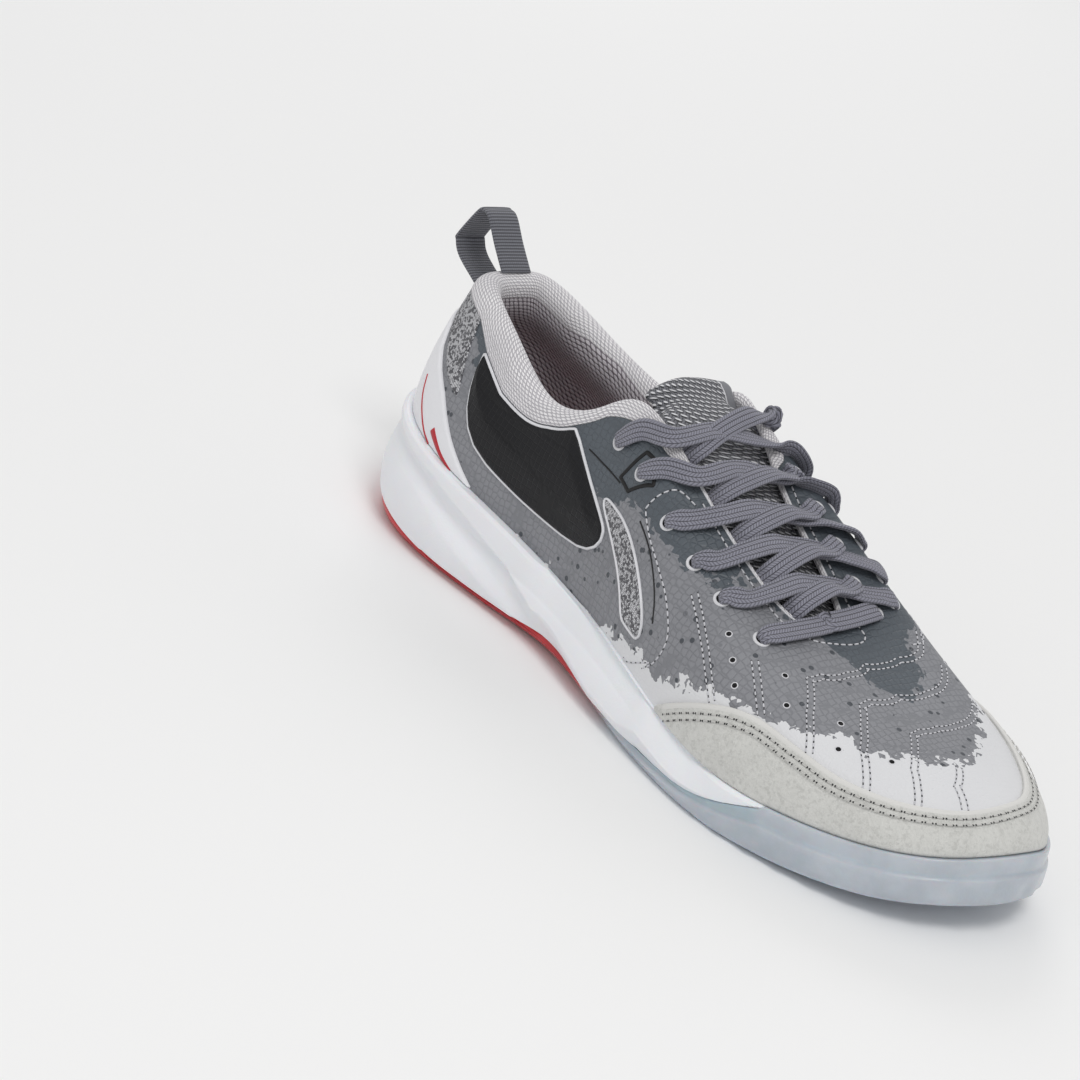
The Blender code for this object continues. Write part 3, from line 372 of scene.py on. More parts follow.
class Socket:
    """an output in a node tree; an expression on it adds the Math nodes it needs"""

    def __init__(self, finish, socket):
        self.finish = finish
        self.socket = socket

    def math(self, operation, *others):
        """a Math node on this value"""
        values = dict(enumerate([self.socket] + list(others)))
        return self.finish.node("Math", {"operation": operation}, values)

    def __add__(self, other):
        return self.math("ADD", other)

    def __radd__(self, other):
        return self.math("ADD", other)

    def __sub__(self, other):
        return self.math("SUBTRACT", other)

    def __rsub__(self, other):
        return self.finish.node("Math", {"operation": "SUBTRACT"}, {0: other, 1: self})

    def __mul__(self, other):
        return self.math("MULTIPLY", other)

    def __rmul__(self, other):
        return self.math("MULTIPLY", other)

    def __truediv__(self, other):
        return self.math("DIVIDE", other)

    def __pow__(self, other):
        return self.math("POWER", other)

    def part(self, name):
        """the fraction, floor, absolute value, sine or another one-sided function"""
        return self.math(name)

    def rise(self, low, high):
        """0 below low, 1 above high, smooth between; falls if low is above high"""
        settings = {"interpolation_type": "SMOOTHSTEP"}
        return self.finish.node("MapRange", settings, {
            "Value": self, "From Min": low, "From Max": high, "To Min": 0.0, "To Max": 1.0})


class Finish:
    """a procedural material; one method makes every node"""

    def __init__(self, name, **fixed):
        self.material = bpy.data.materials.new(name)
        self.material.use_nodes = True
        self.tree = self.material.node_tree
        self.shader = self.tree.nodes["Principled BSDF"]
        for key, value in fixed.items():
            self.shader.inputs[key.replace("_", " ")].default_value = value

    def node(self, kind, settings=None, inputs=None, output=0):
        """a node of a type, with its settings first and then its sockets' values or links"""
        item = self.tree.nodes.new("ShaderNode" + kind)
        for key, value in (settings or {}).items():
            setattr(item, key, value)
        for key, value in (inputs or {}).items():
            self.feed(item.inputs[key], value)
        return Socket(self, item.outputs[output])

    def feed(self, socket, value):
        """links a value that is an output, or sets it on the socket"""
        if isinstance(value, Socket):
            value = value.socket
        if isinstance(value, bpy.types.NodeSocket):
            self.tree.links.new(value, socket)
        elif isinstance(value, tuple) and socket.type == "RGBA" and len(value) == 3:
            socket.default_value = value + (1.0,)
        else:
            socket.default_value = value

    def set(self, **sockets):
        """feeds the shader's own sockets"""
        for key, value in sockets.items():
            self.feed(self.shader.inputs[key.replace("_", " ")], value)

    def place(self):
        """Object coordinates, in metres"""
        return self.node("TexCoord", output="Object")

    def uv(self):
        """the piece's own map, in metres"""
        return self.node("TexCoord", output="UV")

    def field(self, name):
        """an attribute of the piece"""
        return self.node("Attribute", {"attribute_name": name}, output="Fac")

    def stretch(self, vector, scale, turn=(0.0, 0.0, 0.0)):
        return self.node("Mapping", None, {"Vector": vector, "Rotation": turn, "Scale": scale})

    def noise(self, vector, scale, detail=2.0, roughness=0.5):
        return self.node("TexNoise", None, {
            "Vector": vector, "Scale": scale, "Detail": detail, "Roughness": roughness})

    def cells(self, vector, scale, output="Distance", feature="F1", randomness=1.0):
        return self.node("TexVoronoi", {"feature": feature}, {
            "Vector": vector, "Scale": scale, "Randomness": randomness}, output)

    def mix(self, factor, a, b):
        return self.node("Mix", {"data_type": "RGBA"}, {0: factor, 6: a, 7: b}, 2)

    def split(self, vector):
        """the three parts of a vector or colour"""
        item = self.node("SeparateXYZ", None, {0: vector}, "X").socket.node
        return [Socket(self, item.outputs[k]) for k in range(3)]

    def relief(self, height, distance, strength):
        return self.node("Bump", None, {
            "Height": height, "Distance": distance, "Strength": strength})


def srgb(r, g, b):
    """linear colour from the 0 to 255 values that a picture shows"""
    out = []
    for value in (r, g, b):
        v = value / 255
        out.append(v / 12.92 if v <= 0.04045 else ((v + 0.055) / 1.055) ** 2.4)
    return tuple(out)


def dress(piece, finish):
    """gives a piece its material and the body that it rides on"""
    piece.data.materials.clear()
    piece.data.materials.append(finish.material)
    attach(piece, "root")
    return piece


def on_upper(u, share, height):
    """a point above the upper and the direction away from it"""
    point, normal = spots([u], [share], height)
    return point[0], normal[0]


def find_on_upper(x, y):
    """station and section share of the upper's outer face at plan point x, y"""
    u = np.linspace(0.20, 0.497, 40)
    u = u if y - SHIFT[1] < -0.03 * BALL_WIDTH else 1 - u
    share = np.linspace(0.55, 1.0, 16)
    plan = last(u, share)[..., :2]
    off = np.linalg.norm(plan - (x, y), axis=-1)
    i, j = np.unravel_index(off.argmin(), off.shape)
    at = np.array([u[i], share[j]])
    for turn in range(5):
        here = last(at[:1], [[at[1]]])[0, 0, :2]
        turned = last(at[:1] + 1e-4, [[at[1]]])[0, 0, :2]
        raised = last(at[:1], [[at[1] - 1e-3]])[0, 0, :2]
        slope = np.column_stack([(turned - here) / 1e-4, (here - raised) / 1e-3])
        move = np.linalg.solve(slope, np.array([x, y]) - here)
        at = at + np.clip(move, -0.02, 0.02)
        at[1] = np.clip(at[1], 0.4, 1.0)
    return float(at[0]), float(at[1])


def edge_station(x, side):
    """station of the throat's edge at x, on the outer (-1) or the inner side"""
    u = np.linspace(0.22, 0.49, 120)
    edge = periodic(KNOTS, EDGE_LOOP, u if side < 0 else 1 - u)
    found = float(np.interp(x, edge[:, 0], u))
    return found if side < 0 else 1 - found


def throat_edges(x):
    """points of the throat's outer and inner edge at x"""
    return [on_upper(edge_station(x, side), 1.0, 0)[0] for side in (-1, 1)]


def grid_normals(grid):
    """unit normals of a grid of points, rows by columns"""
    along = np.gradient(grid, axis=0)
    across = np.gradient(grid, axis=1)
    return unit(np.cross(across, along))


# Edge of the pale knit collar on the outer face, heel back to throat front
KNIT_LINE = ((0.000, 0.955), (0.040, 0.960), (0.075, 0.965), (0.092, 0.875), (0.118, 0.825),
             (0.149, 0.895), (0.168, 0.945), (0.193, 0.975), (0.219, 0.970), (0.246, 0.925),
             (0.270, 0.915), (0.286, 0.955), (0.296, 1.000), (0.500, 1.000))
# Lower edge of slate print and upper edge of white print on the outer face
SLATE_LINE = ((0.000, 0.80), (0.080, 0.80), (0.120, 0.72), (0.160, 0.80), (0.190, 0.76),
              (0.213, 0.66), (0.233, 0.60), (0.250, 0.575), (0.276, 0.56), (0.294, 0.61),
              (0.317, 0.74), (0.331, 0.81), (0.345, 0.90), (0.370, 1.02), (0.450, 1.02),
              (0.485, 0.90), (0.510, 0.80), (0.532, 0.72), (0.560, 0.71), (0.590, 0.74),
              (0.630, 0.70), (0.680, 0.60), (0.740, 0.56), (0.800, 0.62), (0.860, 0.72),
              (0.930, 0.78), (1.000, 0.80))
WHITE_LINE = ((0.000, -0.10), (0.215, -0.06), (0.235, 0.00), (0.250, 0.045), (0.276, 0.10),
              (0.286, 0.10), (0.305, 0.18), (0.325, 0.275), (0.339, 0.34), (0.357, 0.375),
              (0.374, 0.415), (0.397, 0.50), (0.425, 0.515), (0.465, 0.53), (0.475, 0.50),
              (0.493, 0.525), (0.536, 0.525), (0.561, 0.49), (0.586, 0.50), (0.620, 0.44),
              (0.660, 0.31), (0.700, 0.17), (0.750, 0.06), (0.780, -0.04), (1.000, -0.10))


def line_at(rows, u):
    """share of a table's line at stations u, straight between its rows"""
    rows = np.array(rows)
    return np.interp(np.asarray(u) % 1.0, rows[:, 0], rows[:, 1])


def mirrored_line_at(rows, u):
    """a line given for the outer side alone, used on both sides"""
    u = np.asarray(u) % 1.0
    return line_at(rows, np.where(u > 0.5, 1 - u, u))


def section_length(u):
    """metres up the last's section at stations u"""
    grid = last(u, np.linspace(0, 1, 40))
    return np.linalg.norm(np.diff(grid, axis=1), axis=-1).sum(axis=1)


FILM_THICKNESS = 0.0011
FILM_TUCK = np.array([0.0, 0.0, 0.0035])


def build_upper_film():
    """the printed shell: the last's outer face and a parallel inner face, tucked in below"""
    u = np.arange(480) / 480
    share = np.linspace(0, 1, 72)
    share_in = share[::-1][::3]
    outer = off_last(u, share, 0.0)
    inner = off_last(u, share_in, -FILM_THICKNESS)
    points = np.concatenate([outer[:, :1] - FILM_TUCK, outer, inner, inner[:, -1:] - FILM_TUCK], 1)
    share_all = np.concatenate([[0], share, share_in, [0]])
    reach = section_length(u)[:, None]
    white = (share_all[None, :] - line_at(WHITE_LINE, u)[:, None]) * reach * 1000
    slate = (share_all[None, :] - line_at(SLATE_LINE, u)[:, None]) * reach * 1000
    return grid_piece("upper_film", points, True, True, fields={"white": white, "slate": slate})


# How far the knit rises off the film, how thick it is, and how its rows crowd at the outer edge
KNIT_RISE = 0.0006
KNIT_THICKNESS = 0.0006
KNIT_ROWS = 96
KNIT_CROWDING = 1.15


def build_collar_knit():
    """one knit skin: up the outer face from its line, round the padded roll, down the inside"""
    u = np.arange(540) / 540
    start = mirrored_line_at(KNIT_LINE, u)
    steps = np.linspace(0, 1, 12)
    share = start[:, None] + (1 - start)[:, None] * steps
    lift = KNIT_RISE * smooth(steps, 0, 0.25)[None, :] * np.ones((len(u), 1))
    outer = off_last(u, share, lift)
    edge_out = outer[:, -1]
    thick = wall(u, [1.0])
    edge_in = off_last(u, np.ones((len(u), 1)), -thick)[:, 0]
    ahead = unit(last(u, [1.0])[:, 0] - last(u, [0.94])[:, 0])
    half = (edge_out - edge_in) / 2
    size = np.linalg.norm(half, axis=1)[:, None]
    turns = np.linspace(0, math.pi, 16)[1:-1]
    roll = [(edge_out + edge_in) / 2 + half * math.cos(a) + ahead * size * math.sin(a) for a in turns]
    down = np.linspace(1, 0, 40)
    inner = off_last(u, down, -wall(u, down) - 0.0002)
    whole = np.concatenate([outer, np.stack(roll, 1), inner], 1)
    fraction = np.linspace(0, 1, KNIT_ROWS) ** KNIT_CROWDING
    way = way_across(whole)
    skin = np.zeros((len(u), KNIT_ROWS, 3))
    for i in range(len(u)):
        at = fraction * way[i, -1]
        for k in range(3):
            skin[i, :, k] = np.interp(at, way[i], whole[i, :, k])
    normal = grid_normals(np.concatenate([skin[-1:], skin, skin[:1]], 0))[1:-1]
    back = skin[:, ::-6] + normal[:, ::-6] * KNIT_THICKNESS
    crest = periodic(KNOTS, EDGE_LOOP, np.append(u, 1.0))
    around = way_along(crest)
    down_way = fraction[None, :] * way[:, -1:]
    points = np.concatenate([skin, back], 1)
    along = np.concatenate([down_way, down_way[:, ::-6]], 1)
    along = np.concatenate([along, along[:1]])
    across = np.repeat(around[:, None], points.shape[1], axis=1)
    return grid_piece("collar_knit", points, True, True, uv=(across, along))


def seal(piece):
    """merges the points that grids share along their rims and turns the faces outwards"""
    work = bmesh.new()
    work.from_mesh(piece.data)
    bmesh.ops.remove_doubles(work, verts=work.verts, dist=0.000004)
    rims = [edge for edge in work.edges if edge.is_boundary]
    bmesh.ops.holes_fill(work, edges=rims, sides=0)
    bmesh.ops.recalc_face_normals(work, faces=work.faces)
    work.to_mesh(piece.data)
    work.free()
    for face in piece.data.polygons:
        face.use_smooth = True
    return piece


def crease_edges(piece, degrees):
    """flat shading across edges sharper than an angle"""
    piece.data.set_sharp_from_angle(angle=math.radians(degrees))
    return piece


def plate(ring, across=40, flip=False):
    """quads over a closed ring: rungs from its outer side to its inner side, heel to toe"""
    half = len(ring) // 2
    s = np.linspace(0, 1, across)[None, :, None]
    left = ring[:half + 1][:, None]
    right = np.concatenate([ring[:1], ring[:half - 1:-1]])[:, None]
    grid = left + (right - left) * s
    r, c = lay_grid(half + 1, across)
    faces = r * across + c
    return grid, faces[:, ::-1] if flip else faces


def ring_skin(rings, wrap=False):
    """quads between closed rings that follow each other"""
    points = np.stack(rings, 1)
    r, c = lay_grid(points.shape[0], points.shape[1], True, wrap)
    faces = (r % points.shape[0]) * points.shape[1] + c % points.shape[1]
    return points.reshape(-1, 3), faces


def sole_piece(name, u, levels, rungs):
    """a skin through the outline at each inset and height of levels, closed below and above"""
    rings = [np.column_stack([outline(u, inset), height * np.ones(len(u))])
             for inset, height in levels]
    parts = [ring_skin(rings)]
    for ring, flip in ((rings[0], False), (rings[-1], True)):
        grid, faces = plate(ring, rungs, flip)
        parts.append((grid.reshape(-1, 3), faces))
    return seal(joined_piece(name, parts))


SOLE_STEPS = 480
# Share of its height by which the rubber rim drops along the arch
ARCH_DIP = 0.55


def sole_levels():
    """heights and insets that outsole and midsole share at every station, in metres"""
    u = np.arange(SOLE_STEPS) / SOLE_STEPS
    feather = sole_height("feather", u)
    rim = sole_height("rim", u)
    rim = np.where(rim > feather - 0.0006, feather + 0.0004, rim)
    near = np.minimum(u, 1 - u)
    base = ground(outline(u)[:, 0]) + LUG
    arch = smooth(near, 0.05, 0.13) * (1 - smooth(near, 0.29, 0.35))
    rim = rim - (rim - base) * ARCH_DIP * arch
    floor = np.minimum(sole_value("floor", u) * SOLE_HEIGHT, feather - 0.0024)
    return {
        "u": u,
        "base": base,
        "feather": feather,
        "rim": rim,
        "floor": floor,
        "rim_in": np.maximum(sole_value("rim_in", u), 0) * RIM_WALL,
        "wall_in": np.maximum(sole_value("wall_in", u), 0) * RIM_WALL,
    }


# Moulded lines on the midsole, as station and share of the wall's height, the same on both sides
UPPER_CREASE = ((0.000, 0.880), (0.050, 0.880), (0.102, 0.840), (0.135, 0.740), (0.165, 0.610),
                (0.190, 0.400), (0.215, 0.290), (0.251, 0.100), (0.280, 0.000))
LOWER_CREASE = ((0.000, 0.760), (0.050, 0.750), (0.092, 0.700), (0.119, 0.550), (0.148, 0.400),
                (0.181, 0.200), (0.220, 0.020), (0.280, 0.000))
CHISEL_EDGE = ((0.180, 0.340), (0.200, 0.460), (0.214, 0.440), (0.228, 0.350), (0.253, 0.200),
               (0.282, 0.230), (0.297, 0.450), (0.308, 0.400), (0.331, 0.250), (0.380, 0.200))


# Depths on the midsole's wall: heel swell, mid swell, sunk band, its line, arch facet, rolled lip
HEEL_SWELL = 0.0014
WALL_SWELL = 0.0004
BAND_DEPTH = 0.0022
CREASE_DEPTH = 0.0004
CREASE_WIDTH = 0.0005
FACET_DEPTH = 0.0062
FACET_LIFT = 0.0006
LIP_ROLL = 0.0011


def build_midsole():
    """foam wall: the outline moved in and out for a rolled top, a sunk band, a chiselled arch"""
    f = sole_levels()
    u = f["u"]
    near = np.minimum(u, 1 - u)
    x = outline(u)[:, 0] - SHIFT[0]
    inner = f["rim_in"] + RIM_WALL + 0.0009
    top = f["feather"]
    low = np.minimum(f["rim"], top - 0.0020) - 0.0012
    heel = 1 - smooth(x, 0.13, 0.20)
    tall = smooth(top - f["rim"], 0.002, 0.012)
    upper = line_at(UPPER_CREASE, near)
    lower = line_at(LOWER_CREASE, near)
    chisel = line_at(CHISEL_EDGE, near)
    grooved = 1 - smooth(near, 0.185, 0.262)
    cut = smooth(near, 0.178, 0.200) * (1 - smooth(near, 0.330, 0.365))
    levels = [(inner + 0.0006, f["base"] + 0.0026)]
    for t in np.linspace(0, 1, 72):
        z = low + (top - low) * t
        swell = HEEL_SWELL * heel * np.sin(math.pi * np.clip(t / 0.60, 0, 1)) ** 0.8
        swell = swell + WALL_SWELL * np.sin(math.pi * t) * tall
        above = (t - upper) * (top - low)
        below = (t - lower) * (top - low)
        sunk = smooth(above, 0.0002, -0.0003) * smooth(below, -0.0045, 0.0025) * grooved
        line = np.exp(-(above / CREASE_WIDTH) ** 2) * grooved
        facet = FACET_DEPTH * np.abs(t - chisel) * cut * tall - FACET_LIFT * cut
        lip = LIP_ROLL * smooth(top - z, 0.0014, 0.0) ** 2
        out = f["wall_in"] - swell + BAND_DEPTH * sunk + CREASE_DEPTH * line + facet + lip
        inset = np.where(z < f["rim"] + 0.0001, np.maximum(inner, out), out)
        levels.append((inset, z))
    levels += [(f["wall_in"] + 0.0028, top + 0.0001),
               (LIP_INSET + 0.0010, top - 0.0004),
               (LIP_INSET + 0.0012, f["floor"])]
    return crease_edges(sole_piece("midsole_foam", u, levels, 24), 24)


def mark(piece, name, values):
    """adds a number per point that a material reads as a field; values is a function of the points"""
    count = len(piece.data.vertices)
    points = np.empty(count * 3)
    piece.data.vertices.foreach_get("co", points)
    field = piece.data.attributes.new(name, "FLOAT", "POINT")
    field.data.foreach_set("value", np.asarray(values(points.reshape(-1, 3)), np.float32))
    return piece


def build_outsole():
    """rubber cup: side with a step, rounded rim, inside wall, tray and underside"""
    f = sole_levels()
    u = f["u"]
    wide = f["rim_in"]
    base = f["base"]
    rim = f["rim"]
    covered = smooth(f["feather"] - rim, 0.0012, 0.0)
    wall_top = wide + RIM_WALL
    x = outline(u)[:, 0]
    step = base + (0.45 + 0.13 * smooth(x, 0.03, 0.06)) * (rim - base)
    wave = 0.00050 * np.sin(u * 2 * math.pi * 60) * smooth(x, 0.06, 0.09)
    foot = base - LUG
    levels = [
        (wide + 0.0066, base), (wide + 0.0060, base - 0.0004),
        (wide + 0.0056, foot + 0.0003), (wide + 0.0050, foot + 0.0001),
        (wide + 0.0026, foot + 0.0001), (wide + 0.0016, foot + 0.0005),
        (wide + 0.0008, foot + 0.0013), (wide + 0.0003 + wave, foot + 0.0024)]
    levels += [(wide + wave * (1 - t), foot + 0.0024 + (step - foot - 0.0027) * t)
               for t in (0.25, 0.5, 0.75, 0.95)]
    levels.append((wide + 0.0002, step))
    ledge = wide + 0.0006 + 0.0006 * smooth(x, 0.03, 0.06)
    levels += [(ledge, step + 0.0004 + (rim - step - 0.0010) * t) for t in (0.0, 0.25, 0.5, 0.75)]
    levels += [
        (ledge + 0.0001, rim - 0.0006), (ledge + 0.0002, rim - 0.0002), (ledge + 0.0004, rim),
        (wall_top - 0.0001 + covered * 0.0018, rim - 0.0001),
        (wall_top + covered * 0.0018, rim - 0.0012), (wall_top + 0.0004, base + 0.0018)]
    piece = sole_piece("outsole_cup", u, levels, 70)
    # the side field marks the rubber's side: its finish paints it darker as shade, and keeps the bared
    # window off it
    return mark(piece, "side", lambda p: smooth(p[:, 2] - ground(p[:, 0]), 0.0002, 0.0020))


def half_widths(x):
    """outer and inner edge of the sole at a station line x"""
    u = np.linspace(0, 0.5, 300)
    lateral = outline(u)
    medial = outline(1 - u)
    return (np.interp(x, lateral[:, 0], lateral[:, 1]), np.interp(x, medial[:, 0], medial[:, 1]))


# Tread: distance between bars, width and depth of a fold, half a bar's width, its foot's share
BAR_PITCH = 0.0046
FOLD_WIDTH = 0.0072
FOLD_DEPTH = 0.0011
BAR_HALF = 0.00125
BAR_FOOT = 0.72
BAR_ROOT = 0.0006
TREAD_MARGIN = 0.0072
TOE_MARGIN = 0.0040
WINDOW_CLEAR = 0.004
BAR_FACES = ((0, 4, 6, 2), (1, 3, 7, 5), (0, 1, 5, 4), (2, 6, 7, 3), (0, 2, 3, 1), (4, 5, 7, 6))


def bared_span(middle):
    """lower and upper y of the window under the arch at a bar's x, or nothing"""
    window = np.array(ARCH_WINDOW) * (LENGTH, BALL_WIDTH) + SHIFT[:2]
    (back, point), (front, lower), (_, upper) = window
    if not back - 0.003 < middle < front + 0.002:
        return None
    share = (middle - back) / (front - back)
    return (point + (lower - point) * share - WINDOW_CLEAR,
            point + (upper - point) * share + WINDOW_CLEAR)


def bar_ends(x, y):
    """four corners across a bar: x plus and minus half its width, narrower at the ground"""
    ends = []
    for side in (-BAR_HALF, BAR_HALF):
        level = float(ground(x + side))
        ends.append((x + side * BAR_FOOT, y, level))
        ends.append((x + side, y, level + LUG + BAR_ROOT))
    return ends


def build_tread():
    """folded bars under the sole, each a zigzag with a narrower foot, standing on one plane"""
    points = []
    faces = []
    middle = SHIFT[0] + 0.0125
    while middle < SHIFT[0] + LENGTH - 0.012:
        lateral, medial = half_widths(middle)
        toe = smooth(middle - SHIFT[0], 0.90 * LENGTH, 0.97 * LENGTH)
        margin = TREAD_MARGIN + TOE_MARGIN * toe
        folds = max(4, int(round((medial - lateral - 2 * margin) / FOLD_WIDTH)) + 1)
        ys = np.linspace(lateral + margin, medial - margin, folds)
        xs = middle + np.where(np.arange(folds) % 2 == 0, -FOLD_DEPTH, FOLD_DEPTH)
        bared = bared_span(middle)
        for k in range(folds - 1):
            if bared and ys[k + 1] > bared[0] and ys[k] < bared[1]:
                continue
            faces += [[len(points) + n for n in face] for face in BAR_FACES]
            points += bar_ends(xs[k], ys[k]) + bar_ends(xs[k + 1], ys[k + 1])
        middle += BAR_PITCH
    piece = seal(make_piece("outsole_tread", np.array(points), np.array(faces)))
    return crease_edges(piece, 30)


def build_insole():
    """sock liner: a plate with a cupped rim over the midsole's floor"""
    f = sole_levels()
    u = f["u"]
    x = outline(u)[:, 0] - SHIFT[0]
    edge = UPPER_INSET + VAMP_WALL + 0.0006
    cup = 0.0040 * (1 - smooth(x, 0.09, 0.16)) + 0.0004
    level = f["floor"] + 0.0004
    levels = [
        (edge + 0.0004, level), (edge, level + 0.0019),
        (edge + 0.0006, level + 0.0038 + cup), (edge + 0.0016, level + 0.0038 + cup),
        (edge + 0.0050, level + 0.0040 + cup * 0.25), (edge + 0.0090, level + 0.0038)]
    return sole_piece("sock_liner", u, levels, 24)


# Tongue and laces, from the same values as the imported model
EYELET_ROWS = (
    (0.231, 0.850, 0.743, 0.930), (0.251, 0.750, 0.711, 0.930), (0.276, 0.685, 0.694, 0.900),
    (0.301, 0.705, 0.671, 0.890), (0.327, 0.725, 0.640, 0.895), (0.364, 0.755, 0.621, 0.850))
# Straight runs: stations where each crosses the outer and the inner edge, then its far end
LACE_ROWS = (
    (0.2745, 0.7140, 0.742, 0.72), (0.2940, 0.6970, 0.722, 0.69), (0.3150, 0.6730, 0.699, 0.67),
    (0.3400, 0.6485, 0.674, 0.68), (0.3750, 0.6130, 0.650, 0.72))
# Rising runs: station at which each comes out from under the outer edge
RISE_STATIONS = (0.2840, 0.3055, 0.3300, 0.3620, 0.4020)
LACE_WIDTH = 0.0072
LACE_THICKNESS = 0.0020
LACE_LIFT = 0.0008
# Map distance over the last quad round a strip
WRAP_STEP = 0.0004
# Where a run's end turns down: how far short of the eyelet, over its mouth and under the film
LACE_TURN = 0.0022
LACE_MOUTH = 0.0004
LACE_SINK = 0.0040
TONGUE_ROWS = (0.673, 0.648, 0.618, 0.585, 0.550, 0.515, 0.482, 0.450, 0.424)
TONGUE_WING = 0.0085
TONGUE_THICKNESS = 0.0036
TONGUE_CROWN = 0.07
TONGUE_HALF = 0.021
TONGUE_SINK = 0.0017
TONGUE_TOP = ((0.394, 0.990, 0.160, 0.050), (0.380, 1.020, 0.168, 0.050),
              (0.375, 1.034, 0.145, 0.040))
TONGUE_TOP_SHIFT = 0.020


def tongue_row(x):
    """one row of the tongue's upper face, from its outer to its inner wing"""
    left, right = throat_edges(x)
    sides = []
    for edge, side in ((left, -1), (right, 1)):
        wing = []
        for out in (1.0, 0.5, 0.0):
            y = edge[1] + side * out * TONGUE_WING
            u, share = find_on_upper(edge[0], y)
            sink = float(wall(np.array([u]), [share])[0, 0]) + TONGUE_SINK
            wing.append(on_upper(u, share, -sink)[0])
        sides.append(wing)
    lateral, medial = sides
    left = lateral[-1]
    right = medial[-1]
    rise = np.array([0, 0, TONGUE_CROWN * np.linalg.norm(right - left) * 2])
    crown = (left + right) / 2 + rise
    middle = [left * (1 - s) ** 2 + crown * 2 * s * (1 - s) + right * s ** 2
              for s in (0.25, 0.5, 0.75)]
    return np.concatenate([lateral, middle, medial[::-1]])


def tongue_face():
    """coarse grid of the tongue's upper face, rows from its front to its free top"""
    rows = [tongue_row(x * LENGTH + SHIFT[0]) for x in TONGUE_ROWS]
    across = np.linspace(-1, 1, 9)
    shift = rows[-1][:, 1].mean()
    for x, z, half, drop in TONGUE_TOP:
        inner = np.maximum(across, 0)
        y = shift + (TONGUE_TOP_SHIFT + across * half) * BALL_WIDTH + 0.0030 * inner
        level = z * COLLAR_HEIGHT - drop * BALL_WIDTH * across ** 2 * (1 - 0.45 * (across > 0))
        rows.append(np.column_stack([np.full(9, x * LENGTH + SHIFT[0]), y, level]))
    return np.array(rows)


def fine_surface(grid, rows, cols):
    """a smooth surface through a coarse grid, laid out again both ways"""
    along = np.stack([rounded(grid[:, k], rows) for k in range(grid.shape[1])], 1)
    return np.stack([rounded(along[k], cols) for k in range(rows)])


def build_tongue():
    """padded sheet: thickness falls towards its wings and round its free top"""
    top = fine_surface(tongue_face(), 110, 72)
    normal = grid_normals(top)
    if normal[50, 36, 2] < 0:
        normal = -normal
    rows, cols = top.shape[:2]
    side = np.linspace(-1, 1, cols)
    end = np.linspace(0, 1, rows)
    thick = TONGUE_THICKNESS * (1 - 0.45 * np.abs(side) ** 6)[None, :] * np.ones((rows, 1))
    round_side = np.sqrt(np.clip(1 - ((np.abs(side) - 0.93) / 0.07).clip(0, 1) ** 2, 0, 1))
    round_end = np.sqrt(np.clip(1 - ((end - 0.955) / 0.045).clip(0, 1) ** 2, 0, 1))
    shape = np.maximum(round_end[:, None] * round_side[None, :], 0.02)
    middle = top - normal * (thick / 2)[..., None]
    upper = middle + normal * (thick / 2 * shape)[..., None]
    lower = middle - normal * (thick / 2 * shape)[..., None]
    points = np.concatenate([upper, lower[:, ::-1]], 1)
    across = np.concatenate([side, side[::-1] + 2]) * TONGUE_HALF
    way = way_along(top[:, cols // 2])
    return seal(grid_piece("tongue_pad", points, False, True,
                           uv=(way, np.append(across, across[-1]))))


def on_throat(x, s, height):
    """a point above the throat at x, s from the outer to the inner edge"""
    left, right = throat_edges(x)
    gap = np.linalg.norm(right - left)
    up = np.array([0.30, 0, 0.95])
    crown = TONGUE_CROWN * gap * 4 * s * (1 - s) + 0.0004
    return left + (right - left) * s + up * (height + crown), up


def across_throat(start, row, rest):
    """anchors from an eyelet over the throat's edges at the stations that a lace row gives"""
    near_edge, far_edge = row[:2]
    finish = np.array(row[2:])
    edge = np.array([far_edge, 1.0])
    begin = on_upper(near_edge, 1.0, 0)[0][0]
    reach = on_upper(far_edge, 1.0, 0)[0][0] - begin
    anchors = [on_upper(*start, rest)]
    anchors.append(on_upper((start[0] + near_edge) / 2, (start[1] + 0.985) / 2, rest - 0.0001))
    anchors.append(on_upper(near_edge, 0.985, rest + 0.0022))
    for s, over in ((0.33, 0.0012), (0.67, 0.0)):
        anchors.append(on_throat(begin + reach * s, s, rest + over))
    for s in (0.04, 0.34, 0.67):
        spot = edge + (finish - edge) * s
        anchors.append(on_upper(spot[0], spot[1], rest + 0.0012 - 0.0008 * s))
    return anchors + [on_upper(*finish, rest)]


def across_shoe(start, finish, rest, over):
    """anchors from one point on the upper to another, straight over the throat"""
    first = on_upper(*start, rest)
    final = on_upper(*finish, rest)
    begin = first[0][:2]
    reach = final[0][:2] - begin
    near = 0.15
    far = 0.75
    for turn in range(6):
        near_edge = throat_edges(begin[0] + near * reach[0])[0]
        far_edge = throat_edges(begin[0] + far * reach[0])[1]
        near = (near_edge[1] - begin[1]) / reach[1]
        far = (far_edge[1] - begin[1]) / reach[1]
    anchors = [first]
    for s in (near * 0.5, near * 0.97):
        spot = find_on_upper(*(begin + reach * s))
        anchors.append(on_upper(*spot, rest + 0.0004))
    for s in (0.33, 0.67):
        anchors.append(on_throat(begin[0] + reach[0] * (near + (far - near) * s), s, over))
    for s in (0.04, 0.40):
        spot = find_on_upper(*(begin + reach * (far + (1 - far) * s)))
        anchors.append(on_upper(*spot, rest + 0.0012 - 0.0006 * s))
    return anchors + [final]


